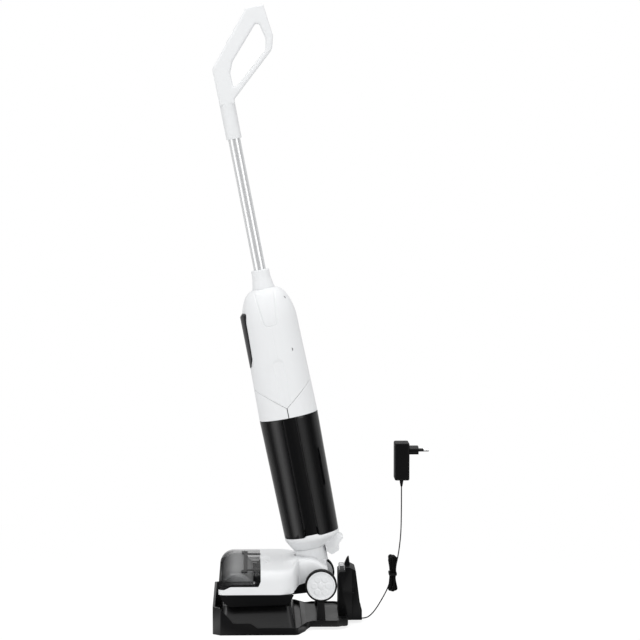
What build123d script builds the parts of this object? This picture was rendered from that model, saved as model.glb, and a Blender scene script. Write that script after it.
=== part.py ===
"""Wet dry floor scrubber parked in its charging tray, with its wall adapter and lead.

Millimetres and degrees. +X is the rear of the machine, +Y its right side, +Z up. The origin lies
on the floor under the middle of the tray. The upright is drawn in a frame of its own: x to the
rear, z up along its axis, placed with its lean by UPRIGHT.
"""
import os
from math import atan2, cos, degrees, pi, radians, sin, sqrt, tan

from build123d import *

# Clearances between pieces
RUN_GAP = 0.05
SEAT_GAP = 0.3
PANEL_GAP = 0.25
BIG = 1600.0

# Posture in the tray: the ground the machine stands on, and the upright's lean and turning axes
GROUND_Z = 48.0
LEAN = 11.03
AXIS_X = 56.1
AXIS_HEIGHT = 52.0
SWIVEL_V = -8.2
PIVOT_S = -10.1

# Tanks and the spine between them
TANK_FLOOR_S = 62.0
TANK_HEIGHT = 220.0
TANK_FLOOR_R = 49.8
TANK_TOP_R = 53.6
TANK_WALL = 2.2
TANK_GAP = 0.4
SPINE_HALF = 10.0
SPINE_WALL = 2.6
SPINE_NECK_HALF = 9.0
SPINE_LAP = 6.0
TAB_HALF = 15.0
TAB_HEIGHT = 3.4
TAB_DEPTH = 11.0
FLOAT_R = 7.0
FLOAT_V = -39.0
FLOAT_LENGTH = 149.0
INTAKE_R = 5.0
INTAKE_V = -21.0
INTAKE_LENGTH = 78.0
FILTER_FRONT = -40.0
FILTER_DEPTH = 26.0
FILTER_HALF = 26.0
FILTER_HEIGHT = 16.0
PLEATS = 9
PLEAT_PITCH = 2.6
PLEAT_WIDTH = 1.0
PLEAT_RIM = 3.0

# White body above the tanks
BODY_R = 50.0
BODY_WALL = 2.6
FLANK_HEIGHT = 173.0
BEND_R = 38.5
BEND_RISE = 48.5
CROWN_R = 21.0
CROWN_RISE = 15.0
SEAM_RISE = 18.0
SEAM_SLOPE = 0.8
SEAM_GAP = 0.7
SLOT_GAP = 1.5
LID_PLATE = 2.6
GROOVE_HALF = 9.5
GROOVE_HEIGHT = 89.0
GROOVE_DEPTH = 1.1
PLATE_RISE = 62.0
PLATE_THICK = 4.0
COLUMN_HALF_WIDTH = 36.0
SCREW_R = 3.2
SCREW_SINK = 0.9
SCREW_PLACES = [(32.8, 40.8), (28.2, -52.1)]

# Tube socket, tube and handle
TONGUE_THICK = 1.4
TONGUE_TOP_HALF = 19.0
TONGUE_LOW_HALF = 11.5
TONGUE_LENGTH = 67.0
COLLAR_RISE = 34.5
COLLAR_R = 16.4
COLLAR_FLARE = 19.0
SOCKET_WALL = 4.0
SOCKET_DEPTH = 21.5
TUBE_R = 11.0
TUBE_WALL = 1.3
TUBE_SHOWN = 241.0
TUBE_DEPTH = 36.0
HANDLE_NECK_R = 14.0
HANDLE_NECK_HEIGHT = 91.0
HANDLE_HALF_WIDTH = 14.0
HANDLE_EDGE = 4.2
HANDLE_OUTLINE = [
    (-14.0, 62), (-14.6, 131), (67, 228), (98, 228), (104.8, 169), (98.5, 145.5), (14.5, 70.5), (14, 62)]
HANDLE_RADII = [0.5, 16, 9, 3, 20, 22, 5, 0.5]
LOOP_OUTLINE = [
    (77.5, 196.5), (84.5, 194), (90.8, 167), (86.5, 146.5), (24, 93), (16.5, 93.5), (15.9, 118), (24, 137.5)]
LOOP_RADII = [4, 3, 12, 10, 5, 4, 12, 14]
STRIP_ZONE = [(60, 111), (112, 111), (112, 219), (94, 219), (88, 166), (60, 128)]
STRIP_THICK = 2.4
STRIP_HALF_WIDTH = 8.0
BUTTON_SHARES = {"power_button": 0.66, "clean_button": 0.46}
BUTTON_R = 7.0
BUTTON_HEIGHT = 5.0
BUTTON_PROUD = 0.5
BUTTON_TRAVEL = 1.2

# Display
PANEL_PROUD = 2.0
PANEL_HALF = 26.0
PANEL_DROP = 74.0
PANEL_RISE = 26.0
PANEL_TAPER = 19.0
PANEL_FOOT_SHARE = 0.4
PANEL_BEVEL = 8.0
PANEL_INSET = 1.3

# Inner machinery of the upright
FAN_R = 26.0
FAN_HEIGHT = 11.0
FAN_BLADES = 9
FAN_DISC = 2.0
FAN_LIFT = 3.0
BLADE_SWEEP = 25.0
BLADE_THICK = 1.2
FAN_SHAFT_R = 2.5
MOTOR_CUP_R = 34.0
MOTOR_CUP_HEIGHT = 19.0
MOTOR_CUP_WALL = 3.0
MOTOR_CAN_R = 29.0
MOTOR_CAN_HEIGHT = 36.0
CELL_R = 9.2
CELL_LENGTH = 65.0
CELL_LAP = 0.3
BOARD_HALF = 21.0
BOARD_LENGTH = 78.0
BOARD_THICK = 1.6
PUMP_LENGTH = 20.0
PUMP_HALF = 12.0
PUMP_HEIGHT = 11.0
PUMP_PORT_R = 2.5

# Base of the upright and its neck
BASE_RING = 5.0
FUNNEL_LOW_S = 37.2
FUNNEL_LOW_R = 29.6
BASE_WALL = 2.6
NECK_R = 28.6
NECK_GAP = 0.4
NECK_LOW_S = 6.0
NECK_ROUND = 6.0
SPIGOT_R = 19.6
SPIGOT_HEIGHT = 7.0
SPIGOT_WALL = 4.0
BARREL_R = 24.0
BARREL_HALF = 27.5
HINGE_PIN_R = 5.0
HINGE_PIN_DEPTH = 12.0
BLOCK_OUTLINE = [(20, 55), (41.8, 59), (55.5, 46.2), (45.5, 36), (43.2, 24.2), (29, 18.8), (20, 26.7)]
BLOCK_RADII = [1, 2, 2, 2, 3, 3, 1]
BLOCK_HALF = 20.0
CONTACT_LENGTH = 8.0
CONTACT_THICK = 0.8

# Floor head, with heights above the ground it stands on
HEAD_FRONT = -124.5
HEAD_REAR = 13.0
HEAD_HALF = 136.0
HEAD_HEIGHT = 65.0
HEAD_EDGE_HEIGHT = 46.0
HEAD_EDGE_RUN = 24.0
HEAD_FRONT_CORNER = 10.0
HEAD_REAR_CORNER = 30.0
HEAD_WALL = 2.6
SKIRT_HEIGHT = 22.5
NOSE_ROUND = 27.5
COVER_REAR = -49.4
COVER_WALL = 2.2
COVER_LIP_HEIGHT = 36.6
COVER_NOSE_HEIGHT = 31.5
COVER_NOSE_RUN = 10.5
COVER_STEP_RUN = 21.5
COVER_GAP = 0.45
HUMP_HALF = 60.0
HUMP_HEIGHT = 73.0
HUMP_START = -40.0
HUMP_CREST_FRONT = 12.0
HUMP_CREST_REAR = 50.0
HUMP_REAR = 72.0
HUMP_REAR_HEIGHT = 56.0
HUMP_LOW_HEIGHT = 35.0
HUMP_ROUND = 16.0
NECK_SLOT_HALF = 29.8
NECK_SLOT_LEAD = 8.0
DISH_R = 30.0
DISH_DEPTH = 4.2
DISH_HALF_RUN = 20.0
DISH_X = -45.5
LATCH_LENGTH = 8.0
LATCH_WIDTH = 20.0
LATCH_ROUND = 3.5
LATCH_PROUD = 2.2
LATCH_HEIGHT = 10.0
ARM_STRIP = 8.0

# Chassis under the head
FLOOR_LOW = 6.0
FLOOR_THICK = 4.0
CHASSIS_GAP = 0.8
SIDE_BAY = 14.5
CHEEK_THICK = 3.5
CHEEK_FRONT_HEIGHT = 38.0
CHEEK_REAR_HEIGHT = 51.0
CHEEK_REAR = -8.0
SIDE_PLATE_THICK = 3.0
SIDE_PLATE_INSET = 0.4
ARM_IN = 30.5
ARM_OUT = 57.0
ARM_ROOT = -20.0
ARM_KNEE = 14.0
ARM_LOW_HEIGHT = 10.0
ARM_HEIGHT = 18.0
ARM_BOSS = 13.0

# Roller and its drive
ROLLER_R = 29.5
ROLLER_X = -92.0
ROLLER_END_GAP = 3.5
ROLLER_ROUND = 4.0
CORE_R = 22.0
CORE_WALL = 2.5
CORE_END = 2.0
STUB_R = 4.0
DRIVE_X = -28.0
DRIVE_HEIGHT = 32.0
DRIVE_MOTOR_R = 14.0
DRIVE_MOTOR_LENGTH = 58.0
DRIVE_SHAFT_R = 2.0
DRIVE_SHAFT_DEPTH = 12.0
ROLLER_PULLEY_R = 10.0
MOTOR_PULLEY_R = 6.5
PULLEY_WIDTH = 5.0
PULLEY_GAP = 0.6
BELT_THICK = 1.4
BELT_GAP = 0.08
BELT_WIDTH = 4.4
SCRAPER_LEAD = 12.0
SCRAPER_DEPTH = 7.0
SCRAPER_GAP = 0.6
SCRAPER_THICK = 2.6
SCRAPER_SHORT = 1.0
SCRAPER_END_LEAD = 4.0
SCRAPER_END_WIDTH = 20.0
SCRAPER_ARM_IN = 86.0
SCRAPER_ARM_OUT = 94.0
SCRAPER_SEAT_LENGTH = 8.0
MOUTH_GAP = 3.0
MOUTH_REAR = -22.0
MOUTH_WIDE = 104.0
MOUTH_TALL = 32.0
MOUTH_REAR_WIDE = 46.0
MOUTH_REAR_TALL = 26.0
MOUTH_WALL = 2.0
SQUEEGEE_THICK = 4.0
SQUEEGEE_GAP = 0.4

# Wheels
WHEEL_R = 28.8
HUB_R = 25.6
HUB_RIM = 3.0
HUB_DISH = 1.2
HUB_CAP_R = 6.0
PETALS = 6
PETAL_R = 5.5
PETAL_RING = 13.0
WHEEL_X = 59.5
WHEEL_IN = 66.0
WHEEL_WIDTH = 16.0
TYRE_ROUND = 1.6
AXLE_R = 4.0
AXLE_SHORT = 4.0

# Charging tray
TRAY_FRONT = -135.0
TRAY_REAR = 108.0
TRAY_ROOM = 10.0
TRAY_SIDE_REAR = 16.0
TRAY_WALL = 4.0
TRAY_FLOOR = 5.0
TRAY_FRONT_TOP = 49.0
TRAY_STEP_TOP = 20.7
TRAY_SIDE_TOP = 12.6
TRAY_CORNER = 14.0
TRAY_ROUND = 8.0
RIM_FRONT_RUN = 13.0
RIM_FALL = 24.0
RIM_STEP_RUN = 31.0
RIM_RAMP = 12.0
DECK_FRONT = 34.0
DECK_HALF = 100.0
DECK_CORNER = 18.0
DECK_LOW = 6.0
DECK_TOP = 17.0
DECK_RECESS = 3.0
ISLAND_X = -56.0
ISLAND_LENGTH = 140.0
ISLAND_TOP_LENGTH = 122.0
ISLAND_SHORT = 1.0
ISLAND_DROP = 0.7
ISLAND_WALL = 3.0
CRADLE_HALF = 13.0
CRADLE_RISE = 5.0
CRADLE_SHORT = 4.0
REST_HALF = 5.5
REST_RISE = 3.0
REST_FLARE = 2.5
FOOT_R = 8.0
FOOT_PLACES = [(58, 54), (100, 54)]

# Charging tower
TOWER_FRONT = 92.0
TOWER_REAR = 135.0
TOWER_HALF = 35.0
TOWER_TOP = 102.0
TOWER_TOP_LENGTH = 21.0
TOWER_LEDGE = 7.5
TOWER_SHOULDER = 10.7
TOWER_SHOULDER_Z = 96.7
TOWER_FOOT_Z = 24.0
TOWER_FOOT_STEP = 2.8
TOWER_WALL = 2.6
TOWER_SPLIT = 117.0
BAND_FRONT = 100.0
BAND_REAR = 121.0
BAND_LOW = 56.0
BAND_HEIGHT = 8.0
BAND_DEPTH = 0.8
LEAF_FRONT = 93.7
LEAF_LENGTH = 10.6
LEAF_HEIGHT = 10.0
LEAF_THICK = 1.2
LEAF_WIDTH = 8.0
LEAF_Y = 10.0
HORN_FRONT = 104.5
HORN_LENGTH = 9.7
HORN_HEIGHT = 17.5
HORN_HALF = 5.0
GLAND_R = 3.0

# Adapter and lead
CORD_R = 1.1
ADAPTER_X = 195.0
ADAPTER_DEPTH = 27.0
ADAPTER_LOW = 259.0
ADAPTER_HEIGHT = 69.0
ADAPTER_HALF = 21.0
ADAPTER_EDGE = 3.0
PLUG_FACE_DEPTH = 16.7
PLUG_FACE_HALF = 17.5
PLUG_FACE_HEIGHT = 14.0
PLUG_FACE_ROUND = 6.5
PLUG_HEIGHT = 53.8
PIN_PITCH = 19.0
PIN_R = 2.0
PIN_LENGTH = 19.0
PIN_ROOT = 5.0
PIN_ROUND = 1.2
SLEEVE_LENGTH = 10.0
SLEEVE_R = 1.95
SLEEVE_TIP_R = 1.75
SLEEVE_BORE_R = 1.5
RELIEF_LENGTH = 13.0
RELIEF_TOP_R = 4.0
RELIEF_TIP_R = 1.8
RELIEF_X = 208.5
HANK_X = 192.5
HANK_Z = 86.0
HANK_LOOPS = 9
HANK_PITCH = 2.75
HANK_REACH = 32.5
HANK_END_R = 3.6
HANK_SHIFT = 4.4
HANK_RAGGED = 2.5
HANK_WAIST_SHARE = 0.6
TIE_THICK = 0.8
TIE_HALF_HEIGHT = 2.0
TIE_GAP = 0.5
TIE_ROUND = 2.4

# Places worked out from the sizes above
AXIS_Z = GROUND_Z + AXIS_HEIGHT
UPRIGHT = Location((AXIS_X, 0, AXIS_Z), (0, -LEAN, 0))
PIVOT_X = AXIS_X + SWIVEL_V * cos(radians(LEAN)) - PIVOT_S * sin(radians(LEAN))
PIVOT_Z = AXIS_Z + SWIVEL_V * sin(radians(LEAN)) + PIVOT_S * cos(radians(LEAN))
TANK_TOP_S = TANK_FLOOR_S + TANK_HEIGHT
TANK_FACE = SPINE_HALF + TANK_GAP
SEAM_S = TANK_TOP_S + SEAM_RISE
PLATE_S = TANK_TOP_S + PLATE_RISE
SHOULDER_S = TANK_TOP_S + FLANK_HEIGHT
PANEL_R = BODY_R + PANEL_PROUD
BEND_S = SHOULDER_S + BEND_RISE
CROWN_S = BEND_S + CROWN_RISE
COLLAR_TOP_S = CROWN_S + COLLAR_RISE
SOCKET_LOW_S = CROWN_S - SOCKET_DEPTH
HANDLE_LOW_S = COLLAR_TOP_S + TUBE_SHOWN
FUNNEL_TOP_S = TANK_FLOOR_S - BASE_RING
NECK_TOP_S = FUNNEL_LOW_S - NECK_GAP
WHEEL_Z = GROUND_Z + WHEEL_R
ROLLER_Z = GROUND_Z + ROLLER_R
DRIVE_Z = GROUND_Z + DRIVE_HEIGHT
HEAD_TOP = GROUND_Z + HEAD_HEIGHT
HEAD_EDGE_Z = GROUND_Z + HEAD_EDGE_HEIGHT
SKIRT_LOW = GROUND_Z + SKIRT_HEIGHT
HEAD_CROWN_HALF = HEAD_HALF - HEAD_EDGE_RUN
CHEEK_IN = HEAD_HALF - SIDE_BAY
ROLLER_HALF = CHEEK_IN - ROLLER_END_GAP
COVER_LIP_Z = GROUND_Z + COVER_LIP_HEIGHT
COVER_NOSE_Z = GROUND_Z + COVER_NOSE_HEIGHT
HUMP_TOP = GROUND_Z + HUMP_HEIGHT
HUMP_LOW = GROUND_Z + HUMP_LOW_HEIGHT
FLOOR_Z = GROUND_Z + FLOOR_LOW
ISLAND_TOP = GROUND_Z - ISLAND_DROP
ISLAND_WIDTH = 2 * HEAD_HALF
ISLAND_TOP_WIDTH = 2 * (ROLLER_HALF - ISLAND_SHORT)
TRAY_HALF = HEAD_HALF + TRAY_ROOM
RECESS_Z = DECK_TOP - DECK_RECESS
PLUG_Z = ADAPTER_LOW + PLUG_HEIGHT
PIN_FACE_X = ADAPTER_X + ADAPTER_DEPTH + PLUG_FACE_DEPTH
ON_BASE = (Align.CENTER, Align.CENTER, Align.MIN)


def block(x0, x1, y0, y1, z0, z1):
    """A box between three pairs of limits."""
    return Pos((x0 + x1) / 2, (y0 + y1) / 2, (z0 + z1) / 2) * Box(x1 - x0, y1 - y0, z1 - z0)


def side_prism(points, half_width, radii=0):
    """An outline seen from the side (x, z), carried across the width on both sides of y = 0."""
    outline = Polyline(*points, close=True)
    if radii:
        outline = FilletPolyline(*points, radius=radii, close=True)
    return extrude(Plane.XZ * make_face(outline), amount=half_width, both=True)


def soft_face(points, cuts):
    """Flat face with a curve across each corner, from one cut length before the corner to one after it."""
    corners = []
    for k, point in enumerate(points):
        here, before, after = (Vector(p) for p in (point, points[k - 1], points[(k + 1) % len(points)]))
        start = here + (before - here).normalized() * cuts[k]
        end = here + (after - here).normalized() * cuts[k]
        corners.append((start, here, end))
    curves = [Bezier(*corner) for corner in corners]
    lines = [Line(corner[2], following[0]) for corner, following in zip(corners, corners[1:] + corners[:1])]
    return make_face(curves + lines)


def cross_rod(radius, x, z, y0, y1):
    """A cylinder across the machine, from y0 to y1."""
    return Pos(x, (y0 + y1) / 2, z) * Rot(90, 0, 0) * Cylinder(radius, y1 - y0)


def turned(points):
    """A solid of revolution about z from its half outline (radius, height)."""
    return revolve(Plane.XZ * make_face(Polyline(*points, close=True)), Axis.Z)


def pair(solid):
    """The solid and its mirror image on the other side of the machine."""
    return [solid, mirror(solid, about=Plane.XZ)]


def as_list(made):
    """A piece that is a list of solids as it is, any other as a list of one."""
    return made if isinstance(made, list) else [made]


def save(node, *shapes):
    """Write one node; several separate solids share a file as a group."""
    solids = [solid for shape in shapes for solid in shape.solids()]
    shape = shapes[0] if len(shapes) == 1 else Compound(children=solids)
    export_step(shape, f"parts/{node}.step")


# Forms that several upright pieces share, in the upright's own frame


def flank_radius(s):
    """Radius of the white body at height s, between the tanks and the shoulder."""
    return BODY_R + (TANK_TOP_R - BODY_R) * (SHOULDER_S - s) / (SHOULDER_S - TANK_TOP_S)


def body_form(inset):
    """The turned form of the white body above the tanks, moved inwards by inset."""
    tilt = 2 * atan2(BODY_R - BEND_R, BEND_S - SHOULDER_S)
    rim = (TANK_TOP_R - inset, TANK_TOP_S)
    shoulder = (BODY_R - inset, SHOULDER_S)
    bend = (BEND_R - inset * cos(tilt), BEND_S - inset * sin(tilt))
    crown = (CROWN_R, CROWN_S - inset)
    outline = [
        Line((0, TANK_TOP_S), rim),
        Line(rim, shoulder),
        TangentArc(shoulder, bend, tangent=(0, 1)),
        TangentArc(bend, crown, tangent=(-sin(tilt), cos(tilt))),
        Line(crown, (0, CROWN_S - inset)),
        Line((0, CROWN_S - inset), (0, TANK_TOP_S)),
    ]
    return revolve(Plane.XZ * make_face(outline), Axis.Z)


def tank_form(inset, lift):
    """The turned form of both tanks and the spine, with its floor raised by lift."""
    low = TANK_FLOOR_S + lift
    rim = TANK_TOP_R - inset
    return turned([(0, low), (TANK_FLOOR_R - inset, low), (rim, TANK_TOP_S), (0, TANK_TOP_S)])


def below_seam(drop):
    """Everything under the V seam of the tank lids, lowered by drop."""
    wing = BIG / 2
    top = SEAM_S - drop
    tip = top + SEAM_SLOPE * wing
    return side_prism([(0, top), (wing, tip), (wing, -wing), (-wing, -wing), (-wing, tip)], wing)


def side_of(sign, gap):
    """The half space in front (sign -1) or behind (sign 1) of the upright's middle, gap away from it."""
    return Pos(sign * (BIG / 2 + gap), 0, 0) * Box(BIG, BIG, BIG * 2)


def tongue_form(grow):
    """Side outline of the tube socket's tongues, a long U, carried across the width."""
    top = TONGUE_TOP_HALF + grow
    low = TONGUE_LOW_HALF + grow
    high = CROWN_S + 1
    foot = CROWN_S - TONGUE_LENGTH - grow
    toe = TONGUE_LOW_HALF * 0.7
    return side_prism([(-top, high), (-low, foot), (low, foot), (top, high)], BIG / 4, [1, toe, toe, 1])


def panel_form(grow):
    """Front outline of the display, carried back through the body's front."""
    half = PANEL_HALF + grow
    foot = half * PANEL_FOOT_SHARE
    low = SHOULDER_S - PANEL_DROP - grow
    top = SHOULDER_S + PANEL_RISE + grow
    bend = low + PANEL_TAPER
    points = [(-half, top), (half, top), (half, bend), (foot, low), (-foot, low), (-half, bend)]
    outline = soft_face(points, [6, 6, 8, 6, 6, 8])
    prism = Pos(-BODY_R * 0.55, 0, 0) * extrude(Plane.YZ * outline, amount=-BODY_R)
    edge = top - PANEL_BEVEL
    front = -PANEL_R - 2
    back = -PANEL_R + PANEL_BEVEL
    bevel = side_prism([(front, edge), (back, top + 2), (back, BIG), (-BIG, BIG), (-BIG, edge)], BIG / 4)
    return prism - bevel


def screw_places():
    """Where the body screws go in from the sides, as (x, z)."""
    return [(x, SHOULDER_S + rise) for x, rise in SCREW_PLACES]


# The upright


def tank(sign):
    """One open tank: a D-shaped cup with its flat wall to the spine. sign -1 is the front one."""
    wall_side = side_of(sign, TANK_FACE)
    cup = tank_form(0, 0) & wall_side
    long_edges = cup.edges().filter_by(lambda e: e.length > (TANK_TOP_S - TANK_FLOOR_S) * 0.8)
    cup = fillet(long_edges, TANK_WALL)
    hollow = tank_form(TANK_WALL, TANK_WALL) & side_of(sign, TANK_FACE + TANK_WALL)
    for side in (-1, 1):
        tab = tab_box(side, TANK_GAP)
        hollow -= Pos(sign * TANK_WALL, -side * TANK_WALL, TANK_WALL) * tab
        cup -= tab
    return cup - hollow


def tab_box(side, grow):
    """The box of the raised tab at one side of the base, grown by a clearance."""
    edge = TANK_FLOOR_R - TAB_DEPTH - grow
    low, high = (edge, BIG / 4) if side > 0 else (-BIG / 4, -edge)
    return block(-TAB_HALF - grow, TAB_HALF + grow, low, high, 0, TANK_FLOOR_S + TAB_HEIGHT + grow)


def tank_lid(sign):
    """The white lid of a tank: a hollow cap up to the V seam, with a plate over the tank's mouth."""
    low = TANK_TOP_S + SEAT_GAP
    outer = body_form(0) & below_seam(SEAM_GAP) & side_of(sign, SLOT_GAP / 2)
    outer -= block(-BIG, BIG, -BIG, BIG, 0, low)
    hollow = body_form(TANK_WALL) - block(-BIG, BIG, -BIG, BIG, 0, low + LID_PLATE)
    hollow &= below_seam(SEAM_GAP + LID_PLATE)
    spine_room = side_of(-sign, -TANK_FACE) & Cylinder(flank_radius(SEAM_S) - TANK_WALL, BIG)
    return outer - hollow - spine_room


def float_guide():
    """Two tubes that hang from the front lid's plate into the dirty water."""
    stem = Cylinder(FLOAT_R, FLOAT_LENGTH, align=ON_BASE) + Sphere(FLOAT_R)
    guide = Pos(FLOAT_V, 0, TANK_TOP_S - FLOAT_LENGTH) * stem
    intake = Cylinder(INTAKE_R, INTAKE_LENGTH, align=ON_BASE)
    guide += Pos(INTAKE_V, 0, TANK_TOP_S - INTAKE_LENGTH) * intake
    return guide + block(FLOAT_V, INTAKE_V, -INTAKE_R, INTAKE_R, TANK_TOP_S - INTAKE_R, TANK_TOP_S)


def filter_block():
    """The pleated filter in the front lid, standing on the lid's plate."""
    low = TANK_TOP_S + SEAT_GAP + LID_PLATE
    high = low + FILTER_HEIGHT
    body = block(FILTER_FRONT, FILTER_FRONT + FILTER_DEPTH, -FILTER_HALF, FILTER_HALF, low, high)
    width = FILTER_HALF - PLEAT_RIM
    first = FILTER_FRONT + (FILTER_DEPTH - (PLEATS - 1) * PLEAT_PITCH - PLEAT_WIDTH) / 2
    for i in range(PLEATS):
        x = first + i * PLEAT_PITCH
        body -= block(x, x + PLEAT_WIDTH, -width, width, low + FILTER_HEIGHT / 4, high + 1)
    return body


def spine_frame():
    """The column between the tanks, its neck through the lids and the plate that carries the motor."""
    spine = tank_form(0, 0) & block(-SPINE_HALF, SPINE_HALF, -BIG, BIG, 0, TANK_TOP_S - SEAT_GAP)
    spine -= tab_box(-1, 0)
    spine -= tab_box(1, 0)
    neck, width = SPINE_NECK_HALF, COLUMN_HALF_WIDTH
    spine += block(-neck, neck, -width, width, TANK_TOP_S - SPINE_LAP, PLATE_S)
    room = neck - SPINE_WALL
    width -= SPINE_WALL
    spine -= block(-room, room, -width, width, TANK_FLOOR_S + SPINE_WALL, PLATE_S)
    plate_r = flank_radius(PLATE_S) - BODY_WALL - SEAT_GAP
    plate = Cylinder(plate_r, PLATE_THICK) - Cylinder(FAN_R / 2, PLATE_THICK)
    return spine + Pos(0, 0, PLATE_S + PLATE_THICK / 2) * plate


def body_shell(sign):
    """The front (-1) or rear (1) half of the white body, with the side groove and the tongue pockets.

    Both start as the front half, clear of the turned form's own seam; the rear one is its mirror image.
    """
    shell = body_form(0) - body_form(BODY_WALL) - below_seam(0)
    shell = shell & side_of(-1, 0)
    half, top, low = GROOVE_HALF, SEAM_S + GROOVE_HEIGHT, SEAM_S - 5
    toe = GROOVE_HALF * 0.8
    groove = side_prism([(-half, low), (-half, top), (half, top), (half, low)], BIG / 4, [1, toe, toe, 1])
    shell -= groove - body_form(GROOVE_DEPTH)
    shell -= tongue_form(PANEL_GAP) - body_form(TONGUE_THICK)
    shell -= Pos(0, 0, CROWN_S) * Cylinder(CROWN_R + PANEL_GAP, 4 * BODY_WALL)
    if sign < 0:
        return shell - (panel_form(PANEL_GAP) - body_form(PANEL_INSET))
    shell = mirror(shell, about=Plane.YZ)
    for x, z in screw_places():
        shell -= cross_rod(SCREW_R, x, z, -BIG / 4, BIG / 4)
    return shell


def body_screws():
    """Four screws through the rear shell's sides, sunk under its surface."""
    tilt = 2 * atan2(BODY_R - BEND_R, BEND_RISE)
    bend_radius = BEND_RISE / sin(tilt)
    screws = []
    for x, z in screw_places():
        above = max(z - SHOULDER_S, 0)
        wall_r = flank_radius(z) - bend_radius + sqrt(bend_radius**2 - above**2)
        skin = sqrt(wall_r**2 - x**2) - SCREW_SINK
        screws += pair(cross_rod(SCREW_R - RUN_GAP, x, z, skin - BODY_WALL, skin))
    return screws


def display_panel():
    """Glossy dark panel let into the front of the body."""
    return (panel_form(0) & Cylinder(PANEL_R, BIG)) - body_form(PANEL_INSET)


def tube_socket():
    """Collar that holds the tube, with a tongue down each side of the body."""
    tongues = (body_form(0) - body_form(TONGUE_THICK)) & tongue_form(0)
    bore = TUBE_R + RUN_GAP
    wall = bore + SOCKET_WALL
    flare = COLLAR_TOP_S - COLLAR_FLARE
    collar = turned([
        (bore, SOCKET_LOW_S), (wall, SOCKET_LOW_S), (wall, CROWN_S - 6), (CROWN_R - 1, CROWN_S - 2),
        (CROWN_R - 0.5, CROWN_S + 1.5), (COLLAR_R + 1.2, flare), (COLLAR_R + 0.3, flare + 3),
        (COLLAR_R, COLLAR_TOP_S - 1), (COLLAR_R - 1, COLLAR_TOP_S), (bore, COLLAR_TOP_S)])
    return tongues - Cylinder(bore, BIG * 2) + collar


def wand_tube():
    """Straight aluminium tube from the socket into the handle."""
    low = SOCKET_LOW_S + TUBE_WALL
    length = HANDLE_LOW_S + TUBE_DEPTH - low
    tube = Cylinder(TUBE_R, length, align=ON_BASE) - Cylinder(TUBE_R - TUBE_WALL, length, align=ON_BASE)
    return Pos(0, 0, low) * tube


def grip_frame(share, depth):
    """A plane on the grip's front face, share of the way up, depth under it, facing out."""
    foot, head = Vector(*HANDLE_OUTLINE[1]), Vector(*HANDLE_OUTLINE[2])
    along = (head - foot).normalized()
    place = foot + (head - foot) * share
    out = Vector(-along.Y, along.X)
    origin = place - out * depth
    centre = (origin.X, 0, HANDLE_LOW_S + origin.Y)
    return Plane(origin=centre, x_dir=(0, 1, 0), z_dir=(out.X, 0, out.Y))


def handle_loop():
    """The flat face of the loop handle."""
    face = make_face(FilletPolyline(*HANDLE_OUTLINE, radius=HANDLE_RADII, close=True))
    face -= make_face(FilletPolyline(*LOOP_OUTLINE, radius=LOOP_RADII, close=True))
    return Pos(0, HANDLE_LOW_S) * face


def handle_strip():
    """Thin trim strip on the back of the handle's rear bar."""
    outer = make_face(FilletPolyline(*HANDLE_OUTLINE, radius=HANDLE_RADII, close=True))
    band = outer - offset(outer, -STRIP_THICK)
    band = Pos(0, HANDLE_LOW_S) * (band & make_face(Polyline(*STRIP_ZONE, close=True)))
    return extrude(Plane.XZ * band, amount=STRIP_HALF_WIDTH, both=True)


def handle_body():
    """The whole loop handle with its neck, before it is split into halves."""
    loop = extrude(Plane.XZ * handle_loop(), amount=HANDLE_HALF_WIDTH, both=True)
    sides = loop.faces().sort_by(Axis.Y)
    loop = fillet(sides[0].edges() + sides[-1].edges(), HANDLE_EDGE)
    neck = Pos(0, 0, HANDLE_LOW_S) * Cylinder(HANDLE_NECK_R, HANDLE_NECK_HEIGHT, align=ON_BASE)
    body = loop + fillet(neck.edges().sort_by(Axis.Z)[0], 1.5)
    bore = Cylinder(TUBE_R + RUN_GAP, TUBE_DEPTH + 2 * RUN_GAP)
    body -= Pos(0, 0, HANDLE_LOW_S + TUBE_DEPTH / 2) * bore
    body -= handle_strip()
    depth = BUTTON_HEIGHT - BUTTON_PROUD + BUTTON_TRAVEL + SEAT_GAP
    pocket = Cylinder(BUTTON_R + PANEL_GAP, 2 * depth, align=ON_BASE)
    for share in BUTTON_SHARES.values():
        body -= grip_frame(share, depth) * pocket
    return body


def handle_half(sign):
    """The left (-1) or right (1) shell of the handle."""
    return handle_body() & Pos(0, sign * BIG / 2, 0) * Box(BIG, BIG, BIG * 2)


def handle_button(node):
    """A round push button in the grip's front face."""
    disc = Cylinder(BUTTON_R, BUTTON_HEIGHT, align=ON_BASE)
    disc = fillet(disc.edges().sort_by(Axis.Z)[-1], 1.0)
    return grip_frame(BUTTON_SHARES[node], BUTTON_HEIGHT - BUTTON_PROUD) * disc


def suction_motor():
    """Motor can over a fan cup that stands on the spine's plate, with the fan's shaft."""
    wall = MOTOR_CUP_WALL
    room = Cylinder(MOTOR_CUP_R - wall, MOTOR_CUP_HEIGHT - wall, align=ON_BASE)
    motor = Cylinder(MOTOR_CUP_R, MOTOR_CUP_HEIGHT, align=ON_BASE) - room
    motor += Pos(0, 0, MOTOR_CUP_HEIGHT) * Cylinder(MOTOR_CAN_R, MOTOR_CAN_HEIGHT, align=ON_BASE)
    motor += Pos(0, 0, FAN_DISC) * Cylinder(FAN_SHAFT_R, MOTOR_CUP_HEIGHT - FAN_DISC, align=ON_BASE)
    return Pos(0, 0, PLATE_S + PLATE_THICK) * motor


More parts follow.
